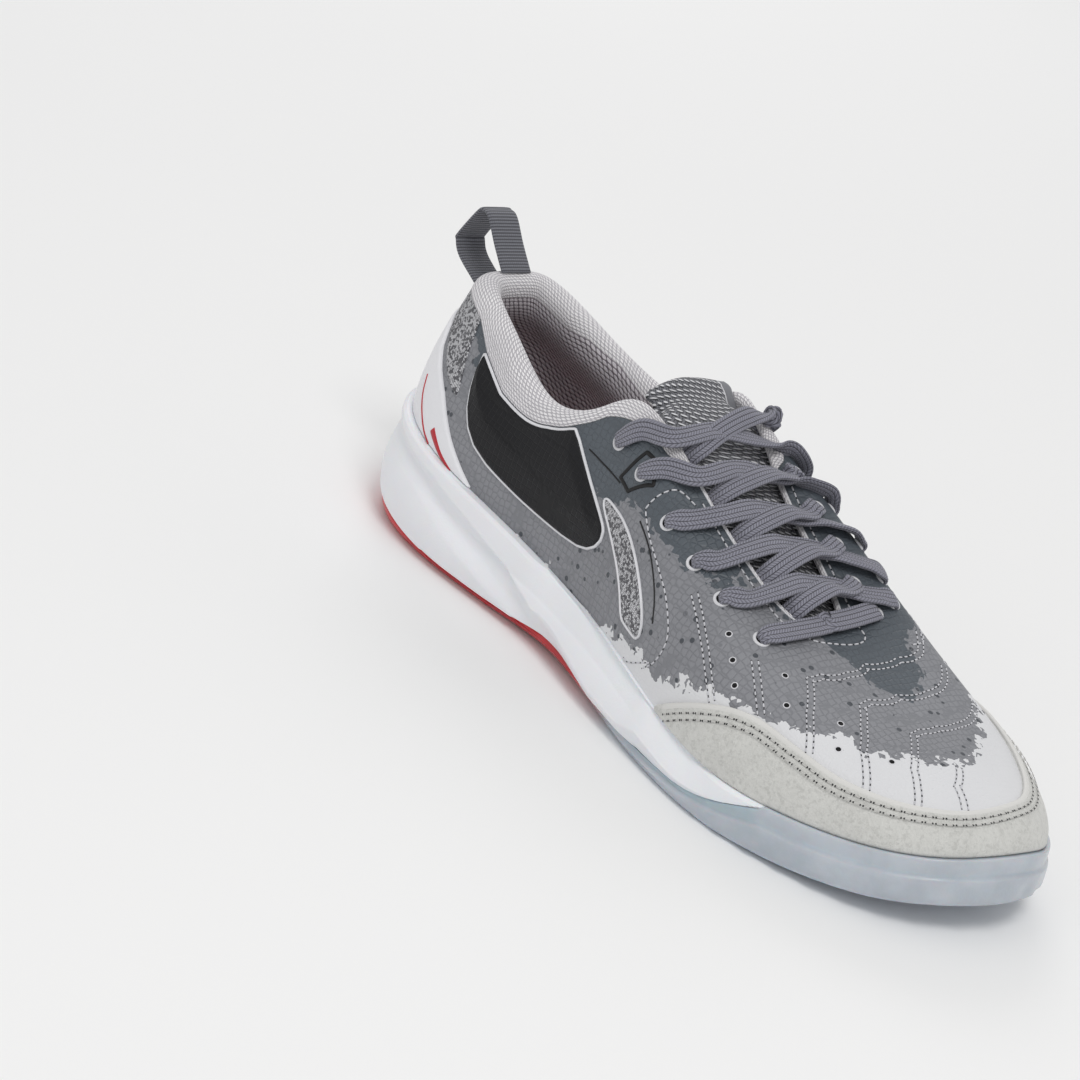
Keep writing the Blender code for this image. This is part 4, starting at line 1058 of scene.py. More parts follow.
def lace_runs():
    """anchors of the straight runs from top to front, then of the rising runs"""
    rest = LACE_THICKNESS / 2 + LACE_LIFT
    runs = []
    for k, row in enumerate(LACE_ROWS):
        runs.append(across_throat(EYELET_ROWS[k][:2], row, rest))
    runs.append(across_shoe(EYELET_ROWS[5][:2], EYELET_ROWS[5][2:], rest, rest))
    for k in range(5):
        near = EYELET_ROWS[k][2:]
        outer = RISE_STATIONS[k]
        start = on_upper(outer, 1.0, 0)[0]
        end = on_upper(near[0], near[1], rest + 0.0004)
        edge = edge_station(end[0][0] + 0.0002, 1)
        x_edge = on_upper(edge, 1.0, 0)[0][0]
        half = on_upper((edge + near[0]) / 2, (0.985 + near[1]) / 2, rest + 0.0020)
        runs.append([
            on_upper(outer - 0.001, 0.93, -0.0042),
            on_upper(outer, 0.995, -0.0030),
            on_throat(start[0] * 0.93 + x_edge * 0.07, 0.13, rest - 0.0002),
            on_throat(start[0] * 0.62 + x_edge * 0.38, 0.40, rest + 0.0016),
            on_throat(start[0] * 0.28 + x_edge * 0.72, 0.74, rest + 0.0024),
            on_upper(edge, 0.985, rest + 0.0026),
            half,
            end])
    return runs


def lace_strip(anchors, ups, narrow, steps):
    """flat braid: a ribbed flat section carried along a smooth line, narrower where it goes in"""
    line = rounded(anchors, steps)
    up = rounded(ups, steps)
    ahead = unit(np.gradient(line, axis=0))
    side = unit(np.cross(ahead, up))
    up = np.cross(side, ahead)
    way = way_along(line)
    wide = np.ones(steps)
    for place, amount in narrow:
        off = np.abs(way - place * way[-1])
        wide = np.minimum(wide, 1 - amount * (1 - smooth(off, 0.0005, 0.0075)))
    a = np.linspace(0, 2 * math.pi, 69)[:-1]
    x = np.sign(np.cos(a)) * np.abs(np.cos(a)) ** 0.85
    z = np.sign(np.sin(a)) * np.abs(np.sin(a)) ** 0.55
    rib = 0.80 + 0.20 * np.abs(np.sin((x * 0.5 + 0.5) * math.pi * 5)) ** 0.6
    across = x[None, :] * wide[:, None] * LACE_WIDTH / 2
    high = (z * rib)[None, :] * LACE_THICKNESS / 2 * (1 + 0.45 * (1 - wide))[:, None]
    points = line[:, None] + side[:, None] * across[..., None] + up[:, None] * high[..., None]
    girth = np.concatenate([[0], np.cumsum(np.hypot(np.diff(x), np.diff(z * 0.28)))])
    return points, way, girth * LACE_WIDTH / 2


def sunk_end(point, up, beside, eyelet):
    """anchors and ups that turn a run's end down: short of point, eyelet's mouth, under the film"""
    ahead = unit(point - beside)
    low, normal = on_upper(*eyelet, -LACE_SINK)
    mouth = on_upper(*eyelet, LACE_MOUTH)[0]
    anchors = [point - ahead * LACE_TURN, mouth, low]
    return anchors, [up, normal * 0.6 + ahead * 0.8, normal * 0.2 + ahead]


def build_laces():
    """every run of the lace as its own strip, down through the eyelets at its ends"""
    finishes = [row[2:] for row in LACE_ROWS + EYELET_ROWS[5:] + EYELET_ROWS[:5]]
    pieces = []
    for number, run in enumerate(lace_runs()):
        anchors = [point for point, up in run]
        ups = [up for point, up in run]
        more, more_ups = sunk_end(anchors[-1], ups[-1], anchors[-2], finishes[number])
        anchors = anchors[:-1] + more
        ups = ups[:-1] + more_ups
        narrow = ((0.97, 0.10),)
        if number < len(EYELET_ROWS):
            more, more_ups = sunk_end(anchors[0], ups[0], anchors[1], EYELET_ROWS[number][:2])
            anchors = more[::-1] + anchors[1:]
            ups = more_ups[::-1] + ups[1:]
            narrow = ((0.03, 0.42), (0.97, 0.16))
        points, way, across = lace_strip(np.array(anchors), np.array(ups), narrow, 150)
        name = "lace_run_%02d" % (number + 1)
        pieces.append(seal(grid_piece(name, points, False, True,
                                      uv=(way, np.append(across, across[-1] + WRAP_STEP)))))
    return pieces


# Middle line of the pull loop, as shares of the length and of the collar's height
LOOP_ROWS = ((-0.006, 0.935), (-0.020, 0.985), (-0.020, 1.010), (0.003, 1.135),
             (0.012, 1.148), (0.024, 1.135), (0.046, 1.060))
LOOP_SEAM = (0.79, 0.86)
LOOP_WIDTH = 0.0130
LOOP_THICKNESS = 0.0014


def loop_line():
    """x and z of the webbing's middle line, from its sewn foot over the top to the collar"""
    seat = LOOP_THICKNESS / 2 + GAP + 0.0001
    back = np.array([0.0])
    foot = off_last(back, np.array([LOOP_SEAM]), seat)[0]
    line = [(point[0], point[2]) for point in foot]
    line += [(x * LENGTH + SHIFT[0], z * COLLAR_HEIGHT) for x, z in LOOP_ROWS]
    crest = last(back, np.array([[1.0]]))[0, 0]
    below = last(back, np.array([[0.94]]))[0, 0]
    inner = off_last(back, np.array([[1.0]]), -wall(back, [1.0]))[0, 0]
    ahead = unit(crest - below)
    roll = (crest + inner) / 2 + ahead * np.linalg.norm(inner - crest) / 2
    line.append((roll[0], roll[2] + GAP + LOOP_THICKNESS / 2))
    return np.array(line)


def build_pull_loop():
    """webbing: a flat rounded section carried along the loop's middle line"""
    line = rounded(loop_line(), 170)
    ahead = unit(np.gradient(line, axis=0))
    out = np.column_stack([-ahead[:, 1], ahead[:, 0]])
    a = np.linspace(0, 2 * math.pi, 49)[:-1]
    y = np.sign(np.cos(a)) * np.abs(np.cos(a)) ** 0.45 * LOOP_WIDTH / 2
    t = np.sign(np.sin(a)) * np.abs(np.sin(a)) ** 0.6 * LOOP_THICKNESS / 2
    points = np.zeros((len(line), len(a), 3))
    points[..., 0] = line[:, :1] + out[:, :1] * t
    points[..., 1] = y
    points[..., 2] = line[:, 1:] + out[:, 1:] * t
    across = np.concatenate([[0], np.cumsum(np.hypot(np.diff(y), np.diff(t)))])
    return seal(grid_piece("pull_loop_webbing", points, False, True,
                           uv=(way_along(line), np.append(across, across[-1] + WRAP_STEP))))


EYELET_RIM = ((0.00190, -0.0006), (0.00190, 0.00012), (0.00215, 0.00034), (0.00262, 0.00030),
              (0.00292, 0.00004), (0.00296, -0.0006))
EYELET_DISC = ((0.0019, 0.00008), (0.0012, 0.00006), (0.0004, 0.00005))


def pressed_rings(name, places, sides, profile, closed=False):
    """rings round each place: radius times a turning direction, plus height times the normal"""
    turn = np.arange(sides) / sides * 2 * math.pi
    parts = []
    for place in places:
        centre, normal = on_upper(*place, 0.0)
        side = unit(np.cross(normal, (1.0, 0.0, 0.0)))
        other = np.cross(normal, side)
        flat = np.cos(turn)[:, None] * side + np.sin(turn)[:, None] * other
        parts.append(ring_skin([centre + flat * r + normal * h for r, h in profile], closed))
    return seal(joined_piece(name, parts))


def build_eyelets():
    """white rims, each a thin ring pressed into the film round a dark hole"""
    places = [row[:2] for row in EYELET_ROWS] + [row[2:] for row in EYELET_ROWS + LACE_ROWS]
    return (pressed_rings("eyelet_rims", places, 28, EYELET_RIM, True),
            pressed_rings("eyelet_holes", places, 28, EYELET_DISC))


# How far a raised skin reaches into the film under it, and the sizes of each skin
SKIN_ROOT = 0.0004
CAP_SKIN = {"height": 0.00150, "rows": 30, "columns": 300, "soft": 0.0012}
HEEL_SKIN = {"height": 0.00125, "rows": 40, "columns": 260, "soft": 0.0010}
KNIT_SKIN = {"height": 0.00045, "rows": 24, "columns": 200, "soft": 0.0006}
PANEL_SKIN = {"height": 0.0012, "rows": 60, "columns": 260, "soft": 0.0015, "dome": 0.0011}


def rim_lift(up, along, soft, height, dome=0.0):
    """a quarter circle to height over the width soft at the rim, plus a slow dome inside it"""
    edge = np.minimum(up, up[:, -1:] - up)
    edge = np.minimum(edge, np.minimum(along, along[-1] - along)[:, None])
    t = np.clip(edge / soft, 0, 1)
    return height * np.sqrt(np.clip(1 - (1 - t) ** 2, 0, 1)) + dome * smooth(edge, 0, 0.012)


def closed_skin(top, under, up, along):
    """the top face with the under face run back, and the metres up and along it"""
    points = np.concatenate([top, under[:, ::-1]], 1)
    up = np.concatenate([up, up[:, ::-1]], 1)
    return points, up, np.repeat(along[:, None], points.shape[1], axis=1)


def build_overlay(name, stations, low, high, height, rows, columns, soft, dome=0.0):
    """a raised skin: share runs from low(u) to high(u) in cosine steps, lifted by rim_lift"""
    u = np.linspace(stations[0], stations[1], columns)
    low = low(u)
    high = high(u)
    across = (1 - np.cos(np.linspace(0, math.pi, rows))) / 2
    share = low[:, None] + (high - low)[:, None] * across[None, :]
    base = last(u, share)
    up = way_across(base)
    along = way_along(base[:, rows // 2])
    top = off_last(u, share, rim_lift(up, along, soft, height, dome))
    points, way, across = closed_skin(top, off_last(u, share, -SKIN_ROOT), up, along)
    return seal(grid_piece(name, points, False, True, uv=(across, way)))


# Upper edge of the suede toe cap
CAP_LINE = ((0.294, 0.000), (0.303, 0.060), (0.315, 0.145), (0.328, 0.225), (0.345, 0.310),
            (0.360, 0.355), (0.372, 0.365), (0.390, 0.340), (0.410, 0.298), (0.432, 0.280),
            (0.456, 0.266), (0.476, 0.262), (0.503, 0.290), (0.543, 0.318), (0.580, 0.345),
            (0.612, 0.350), (0.640, 0.310), (0.662, 0.230), (0.685, 0.120), (0.704, 0.000))
# Upper edge of the pale heel panel, the same on both sides
HEEL_LINE = ((0.000, 0.750), (0.030, 0.745), (0.043, 0.690), (0.052, 0.560), (0.065, 0.470),
             (0.079, 0.390), (0.100, 0.200), (0.118, 0.060), (0.126, 0.000))
# Lower and upper edge of the flecked heel knit, the same on both sides
HEEL_KNIT_LOW = ((0.000, 0.775), (0.030, 0.770), (0.045, 0.720), (0.055, 0.620), (0.066, 0.530),
                 (0.078, 0.465), (0.0885, 0.455))
HEEL_KNIT_HIGH = ((0.000, 0.985), (0.0740, 0.985), (0.0775, 0.780), (0.0830, 0.630),
                  (0.0885, 0.480))
# Least height of an overlay where its line runs out, as a share
THIN_SHARE = 0.012


def build_toe_cap():
    """suede wrap between the feather and its line"""
    return build_overlay("toe_cap_suede", (0.2975, 0.7005), np.zeros_like,
                         lambda u: np.maximum(line_at(CAP_LINE, u), THIN_SHARE), **CAP_SKIN)


def build_heel_panel():
    """smooth panel round the heel between the feather and its line"""
    return build_overlay("heel_panel", (-0.1235, 0.1235), np.zeros_like,
                         lambda u: np.maximum(mirrored_line_at(HEEL_LINE, u), THIN_SHARE),
                         **HEEL_SKIN)


def build_heel_knit():
    """flecked knit between the heel panel and the collar, tapering to a point low on each side"""
    return build_overlay("heel_knit", (-0.0880, 0.0880), lambda u: mirrored_line_at(HEEL_KNIT_LOW, u),
                         lambda u: mirrored_line_at(HEEL_KNIT_HIGH, u), **KNIT_SKIN)


# Plain quarter panel behind the instep: its lower and its front edge as station and share.
# Its foot runs level with the sole, and its lower corners are rounded.
PANEL_LOW = ((0.092, 0.820), (0.093, 0.700), (0.096, 0.590), (0.101, 0.480), (0.108, 0.390),
             (0.117, 0.330), (0.130, 0.300), (0.160, 0.285), (0.190, 0.275), (0.203, 0.280),
             (0.211, 0.300), (0.217, 0.335), (0.221, 0.380), (0.2225, 0.430))
PANEL_HIGH = ((0.192, 0.950), (0.197, 0.880), (0.203, 0.770), (0.209, 0.660), (0.215, 0.560),
              (0.219, 0.500), (0.2215, 0.460), (0.2225, 0.432))
# Knit window in front of the panel, in the same way
WINDOW_ROWS = ((0.588, 0.2222, 0.2250), (0.560, 0.2215, 0.2310), (0.520, 0.2232, 0.2385),
               (0.460, 0.2270, 0.2465), (0.380, 0.2325, 0.2548), (0.300, 0.2385, 0.2620),
               (0.220, 0.2443, 0.2678), (0.165, 0.2480, 0.2690), (0.138, 0.2505, 0.2680),
               (0.124, 0.2540, 0.2650))


def panel_low(u):
    """the panel's foot"""
    return mirrored_line_at(PANEL_LOW, u)


def panel_high(u):
    """under the collar's knit at the top, then down the panel's front edge"""
    knit = mirrored_line_at(KNIT_LINE, u) - 0.018
    return np.maximum(np.minimum(knit, mirrored_line_at(PANEL_HIGH, u)), panel_low(u) + 0.002)


def mirrored(line):
    """the same line on the inner side, run the other way so that up stays up"""
    line = np.array(line, float)
    return np.column_stack([1 - line[:, 0], line[:, 1]])[::-1]


# Metres for one unit of station and for one of share, near enough to space points evenly
METRES = np.array([0.75, 0.075])


def even_on_shell(line, count):
    """a line of stations and shares laid out again at even distances"""
    return even_line(line * METRES, count) / METRES


def panel_outline():
    """closed line round the panel: along its foot, back along its top"""
    u = np.linspace(PANEL_LOW[0][0], PANEL_LOW[-1][0], 160)
    low = np.column_stack([u, panel_low(u)])
    high = np.column_stack([u, panel_high(u)])[::-1]
    return even_on_shell(np.concatenate([low, high, low[:1]]), 420)


def window_outline():
    """closed line up the window's back edge and down its front edge"""
    rows = np.array(WINDOW_ROWS)
    back = rows[:, [1, 0]]
    front = rows[::-1][:, [2, 0]]
    return rounded(np.concatenate([back, front]), 300, closed=True)


def build_window(name, rows):
    """a raised leaf: station runs from its back to its front line in cosine steps"""
    lines = 70
    across = 60
    along = rounded(rows, lines)
    s = (1 - np.cos(np.linspace(0, math.pi, across))) / 2
    u = along[:, 1:2] + (along[:, 2:3] - along[:, 1:2]) * s[None, :]
    share = np.repeat(along[:, :1], across, axis=1)
    base, normal = spots(u.ravel(), share.ravel())
    base = base.reshape(lines, across, 3)
    normal = normal.reshape(lines, across, 3)
    wide = way_across(base)
    high = way_along(base[:, across // 2])
    top = base + normal * rim_lift(wide, high, soft=0.0012, height=0.0004)[..., None]
    points, row_way, col_way = closed_skin(top, base - normal * SKIN_ROOT, wide, high)
    return seal(grid_piece(name, points, False, True, uv=(row_way, col_way)))


def bead(line, width, height, lift=0.0, closed=False, sides=8, shift=0.0):
    """points and quads of a half-round cord on the shell, along a line of station and share"""
    if closed:
        line = line[:-1]
    base, normal = spots(line[:, 0], line[:, 1], lift)
    if closed:
        ahead = unit(np.roll(base, -1, axis=0) - np.roll(base, 1, axis=0))
    else:
        ahead = unit(np.gradient(base, axis=0))
    side = np.cross(normal, ahead)
    base = base + side * shift
    a = np.linspace(0, 2 * math.pi, sides, endpoint=False)
    width = np.asarray(width) * np.ones(len(base))
    points = (base[:, None] + side[:, None] * (np.cos(a) * 0.5)[None, :, None] * width[:, None, None]
              + normal[:, None] * (np.sin(a) * height)[None, :, None])
    r, c = lay_grid(len(base), sides, closed, True)
    faces = (r % len(base)) * sides + c % sides
    points = points.reshape(-1, 3)
    if not closed:
        first = np.array([[0, 1, 2, 3], [0, 3, 4, 5], [0, 5, 6, 7]])[:, ::-1]
        final = (len(base) - 1) * sides + first[:, ::-1]
        faces = np.concatenate([faces, first, final])
    return points, faces


def shell_line(rows, count=120):
    """a given line on the shell, laid out again evenly in metres"""
    fine = rounded(rows, 600)
    way = way_along(spots(fine[:, 0], fine[:, 1])[0])
    even = np.linspace(0, way[-1], count)
    return np.column_stack([np.interp(even, way, fine[:, k]) for k in range(2)])


def sewn(rows, pitch, length, width, dot, shift=0.0, lift=0.0, sharp=False):
    """stitches along a line: each a small capsule lying on the shell, and its needle holes"""
    fine = even_line(np.array(rows), 800) if sharp else rounded(rows, 800)
    base, normal = spots(fine[:, 0], fine[:, 1], lift)
    ahead = unit(np.gradient(base, axis=0))
    side = np.cross(normal, ahead)
    base = base + side * shift
    way = way_along(base)
    count = max(2, int(way[-1] / pitch))
    at = (np.arange(count) + 0.5) * way[-1] / count
    pick = [np.column_stack([np.interp(at, way, a[:, k]) for k in range(3)])
            for a in (base, ahead, side, normal)]
    centre, ahead, side, normal = pick
    rings = np.array([-0.5, -0.34, 0.0, 0.34, 0.5]) * length
    girth = np.array([0.25, 0.85, 1.0, 0.85, 0.25]) * width / 2
    turn = np.arange(6) / 6 * 2 * math.pi
    x = np.repeat(rings, 6)
    y = np.outer(girth, np.cos(turn)).ravel()
    z = np.outer(girth, np.sin(turn)).ravel() * 0.9
    points = (centre[:, None] + ahead[:, None] * x[None, :, None]
              + side[:, None] * y[None, :, None] + normal[:, None] * (z + 0.00004)[None, :, None])
    r, c = lay_grid(5, 6, False, True)
    one = r * 6 + c % 6
    ends = np.array([[0, 5, 4, 3], [0, 3, 2, 1], [24, 25, 26, 27], [24, 27, 28, 29]])
    one = np.concatenate([one[:, ::-1], ends[:, ::-1]])
    faces = (np.arange(count) * 30)[:, None, None] + one[None]
    thread = (points.reshape(-1, 3), faces.reshape(-1, 4))
    flat = np.array([[0, 1, 2, 3], [0, 3, 4, 5]])
    faces = (np.arange(count) * 6)[:, None, None] + flat[None]
    holes = []
    for sign in (-1, 1):
        spot = centre + ahead * sign * length * 0.56
        rim = (spot[:, None] + ahead[:, None] * (np.cos(turn) * dot)[None, :, None]
               + side[:, None] * (np.sin(turn) * dot)[None, :, None]
               + normal[:, None] * 0.00005)
        holes.append((rim.reshape(-1, 3), faces.reshape(-1, 4)))
    return thread, holes


def film_finish():
    """slate, mid grey and white print with ragged splatter edges, sparse specks, faint honeycomb"""
    f = Finish("printed_film", Roughness=0.50)
    spot = f.place()
    white = f.field("white")
    slate = f.field("slate")
    ragged = f.split(f.cells(spot, 520.0, "Color"))[0]
    broad = f.noise(spot, 130.0, 3.0, 0.6)
    blots = f.noise(spot, 60.0, 2.0, 0.5)
    white_edge = white - (ragged - 0.5) * 5.0 - (broad - 0.5) * 16.0
    slate_edge = slate + (ragged - 0.5) * 4.0 + (blots - 0.5) * 22.0
    is_white = white_edge.rise(0.05, -0.05)
    is_slate = slate_edge.rise(-0.05, 0.05)
    specks = f.cells(spot, 330.0)
    pick = f.split(f.cells(spot, 330.0, "Color"))[1]
    speck = specks.rise(0.34, 0.28) * pick.rise(0.80, 0.82)
    tone = f.noise(spot, 25.0, 3.0, 0.5)
    grey = f.mix(tone, srgb(124, 125, 130), srgb(144, 145, 150))
    grey = f.mix(speck, grey, srgb(70, 74, 80))
    dark = f.mix(tone, srgb(74, 81, 88), srgb(90, 97, 104))
    pale = f.mix(tone, srgb(212, 213, 216), srgb(226, 226, 228))
    colour = f.mix(is_slate, grey, dark)
    colour = f.mix(is_white, colour, pale)
    comb = f.cells(spot, 430.0, feature="DISTANCE_TO_EDGE", randomness=0.35)
    edge = comb.rise(0.0, 0.16)
    colour = f.mix((1.0 - edge) * (1.0 - is_white) * 0.22, colour, srgb(58, 62, 68))
    fine = f.noise(spot, 1800.0, 2.0, 0.6)
    height = edge * (1.0 - is_white * 0.7) + fine * 0.25
    f.set(Base_Color=colour, Roughness=0.40 + tone * 0.16, Normal=f.relief(height, 0.00026, 0.6))
    return f


def liner_finish():
    """red liner: rows of oval stitches, each row shifted by half, with dark gaps between"""
    f = Finish("red_liner", Roughness=0.92, Sheen_Weight=0.25)
    pale = srgb(170, 40, 52)
    shade = srgb(112, 20, 30)
    x, y = f.split(f.uv())[:2]
    row = y / 0.0010
    place = x / 0.0016 + row.part("FLOOR") * 0.5
    a = place.part("FRACT") - 0.5
    b = row.part("FRACT") - 0.5
    far = (a * a * 3.6 + b * b * 3.2) ** 0.5
    mound = far.rise(0.95, 0.25)
    yarn = f.noise(f.place(), 1400.0, 2.0, 0.7)
    loft = f.noise(f.place(), 30.0, 2.0, 0.5)
    colour = f.mix(mound, shade, pale)
    colour = f.mix(yarn.rise(0.45, 0.75) * 0.25, colour, (1.0, 1.0, 1.0))
    colour = f.mix(loft * 0.18, colour, shade)
    f.set(Base_Color=colour, Normal=f.relief(mound + yarn * 0.25, 0.0005, 0.8))
    return f


def stitch_rows(x, y, width, height, lean):
    """one bright mound per stitch in brick rows; each lies flat and may lean"""
    row = y / height
    line = row.part("FLOOR")
    b = row.part("FRACT") - 0.5
    a = (x / width + line * 0.5 + b * lean).part("FRACT") - 0.5
    far = ((a * 2.0).part("ABSOLUTE") ** 2.6 + (b * 2.0).part("ABSOLUTE") ** 2.2) ** 0.5
    return far.rise(1.06, 0.55)


def lining_finish():
    """collar knit: small tight stitches over the outer roll, larger ones inside, where both colours
    are painted darker and greyer as shade
    """
    f = Finish("collar_knit_yarn", Roughness=0.94, Sheen_Weight=0.25)
    x, y = f.split(f.uv())[:2]
    wander = (f.noise(f.place(), 260.0, 2.0, 0.6) - 0.5) * 0.0006
    small = stitch_rows(x + wander, y + wander, 0.00190, 0.00115, 0.7)
    large = stitch_rows(x + wander, y - wander, 0.00270, 0.00165, 0.5)
    # inside marks the knit down the collar's inside: larger stitches there, and the painted shade of
    # the shoe's opening
    inside = y.rise(0.0190, 0.0200)
    mound = small * (1.0 - inside) + large * inside
    yarn = f.noise(f.place(), 1500.0, 2.0, 0.7)
    loft = f.noise(f.place(), 55.0, 3.0, 0.6)
    # painted shade: the gaps and the stitches turn darker and greyer inside the collar
    gap = f.mix(inside, srgb(190, 187, 193), srgb(118, 110, 118))
    pale = f.mix(inside, srgb(243, 241, 243), srgb(226, 221, 226))
    colour = f.mix(mound * (0.82 + yarn * 0.28), gap, pale)
    colour = f.mix(loft.rise(0.45, 0.75) * 0.22, colour, gap)
    f.set(Base_Color=colour, Normal=f.relief(mound + yarn * 0.22, 0.00042, 0.85))
    return f


def panel_finish():
    """moulded black sheet: faint honeycomb over a fine grain, with a slow change of gloss"""
    f = Finish("moulded_panel", Specular_IOR_Level=0.28)
    spot = f.place()
    comb = f.cells(spot, 430.0, feature="DISTANCE_TO_EDGE", randomness=0.12)
    fine = f.noise(spot, 1500.0, 3.0, 0.6)
    slow = f.noise(spot, 40.0, 3.0, 0.55)
    edge = comb.rise(0.0, 0.10)
    colour = f.mix(slow, srgb(13, 13, 16), srgb(23, 23, 27))
    colour = f.mix((1.0 - edge) * 0.4, colour, srgb(8, 8, 10))
    f.set(Base_Color=colour, Roughness=0.36 + slow * 0.12,
          Normal=f.relief(edge * 0.8 + fine * 0.3, 0.00020, 0.5))
    return f


def flecked_finish():
    """dark mesh with light flecks in slanting rows"""
    f = Finish("heel_mesh", Roughness=0.9, Sheen_Weight=0.2)
    x, y = f.split(f.uv())[:2]
    mound = stitch_rows(x, y, 0.001302, 0.000868, 0.9)
    spot = f.place()
    patchy = f.split(f.cells(spot, 1250.0, "Color"))[0].rise(0.34, 0.62)
    yarn = f.noise(spot, 2600.0, 2.0, 0.7)
    bright = (mound * 0.55 + 0.45) * (patchy * 0.85 + 0.10) * (0.6 + yarn * 0.6)
    colour = f.mix(bright, srgb(60, 60, 66), srgb(226, 226, 230))
    f.set(Base_Color=colour, Normal=f.relief(mound + yarn * 0.2, 0.0004, 0.8))
    return f


def tongue_finish():
    """grey mesh with rows of slanting white dashes, each over a dark pit, and a plain bound edge"""
    f = Finish("tongue_mesh", Roughness=0.9, Sheen_Weight=0.2)
    x, y = f.split(f.uv())[:2]
    across = y / 0.0026
    row = x / 0.0021 + across * 0.22
    line = row.part("FLOOR")
    b = row.part("FRACT") - 0.5
    a = (across + line * 0.5).part("FRACT") - 0.5
    dash = ((a * 2.3) ** 2.0 + ((b + a * 0.45 - 0.10) * 5.2) ** 2.0).rise(1.0, 0.55)
    pit = ((a * 2.5) ** 2.0 + ((b + a * 0.45 + 0.24) * 5.6) ** 2.0).rise(1.0, 0.5)
    fine = stitch_rows(x, y, 0.0007, 0.0009, 0.6)
    yarn = f.noise(f.place(), 1800.0, 2.0, 0.7)
    colour = f.mix(fine * (0.6 + yarn * 0.5), srgb(62, 63, 68), srgb(128, 129, 135))
    colour = f.mix(pit * 0.9, colour, srgb(28, 28, 31))
    colour = f.mix(dash * (0.75 + yarn * 0.3), colour, srgb(232, 232, 236))
    bound = y.rise(0.0149, 0.0151)
    seam = y.rise(0.0142, 0.0143) * y.rise(0.0151, 0.0149)
    plain = f.mix(yarn, srgb(108, 109, 114), srgb(128, 129, 134))
    colour = f.mix(bound, colour, plain)
    colour = f.mix(seam, colour, srgb(214, 214, 218))
    height = (dash * 1.0 + fine * 0.3 - pit * 0.5) * (1.0 - bound) + bound * 0.6
    f.set(Base_Color=colour, Normal=f.relief(height, 0.0004, 0.8))
    return f


def suede_finish():
    """short nap: fine fibre noise, small dark pits, soft blotches where the nap lies differently"""
    f = Finish("suede", Roughness=0.96, Sheen_Weight=0.3, Sheen_Roughness=0.5)
    spot = f.place()
    fibre = f.noise(f.stretch(spot, (1.0, 1.4, 0.8)), 1300.0, 4.0, 0.75)
    nap = f.noise(spot, 620.0, 3.0, 0.7)
    brushed = f.noise(spot, 90.0, 4.0, 0.7)
    wide = f.noise(spot, 22.0, 2.0, 0.5)
    colour = f.mix(brushed.rise(0.3, 0.7), srgb(202, 202, 198), srgb(214, 214, 210))
    colour = f.mix(fibre.rise(0.35, 0.75) * 0.6, colour, srgb(230, 230, 227))
    colour = f.mix(nap.rise(0.52, 0.34) * 0.45, colour, srgb(172, 172, 168))
    colour = f.mix(wide.rise(0.35, 0.65) * 0.25, colour, srgb(200, 200, 196))
    height = fibre * 0.6 + nap * 0.6 + brushed * 0.5
    f.set(Base_Color=colour, Normal=f.relief(height, 0.0007, 0.7))
    return f


def smooth_finish(name, light, dark, roughness, coat=0.0):
    """moulded or coated surface: fine grain, slow change of tone and gloss"""
    f = Finish(name, Coat_Roughness=0.3, Coat_Weight=coat)
    spot = f.place()
    fine = f.noise(spot, 900.0, 3.0, 0.6)
    slow = f.noise(spot, 35.0, 3.0, 0.55)
    f.set(Base_Color=f.mix(slow, dark, light), Roughness=roughness - 0.06 + slow * 0.12,
          Normal=f.relief(fine, 0.00012, 0.6))
    return f


def foam_finish():
    """moulded foam: satin skin with a fine pebble, slightly bluish white"""
    f = Finish("moulded_foam", Subsurface_Weight=0.12, Subsurface_Scale=0.004)
    spot = f.place()
    pebble = f.noise(spot, 1300.0, 3.0, 0.6)
    slow = f.noise(spot, 28.0, 3.0, 0.6)
    colour = f.mix(slow, srgb(232, 233, 238), srgb(243, 244, 247))
    f.set(Base_Color=colour, Roughness=0.44 + slow * 0.16, Normal=f.relief(pebble, 0.00016, 0.5))
    return f


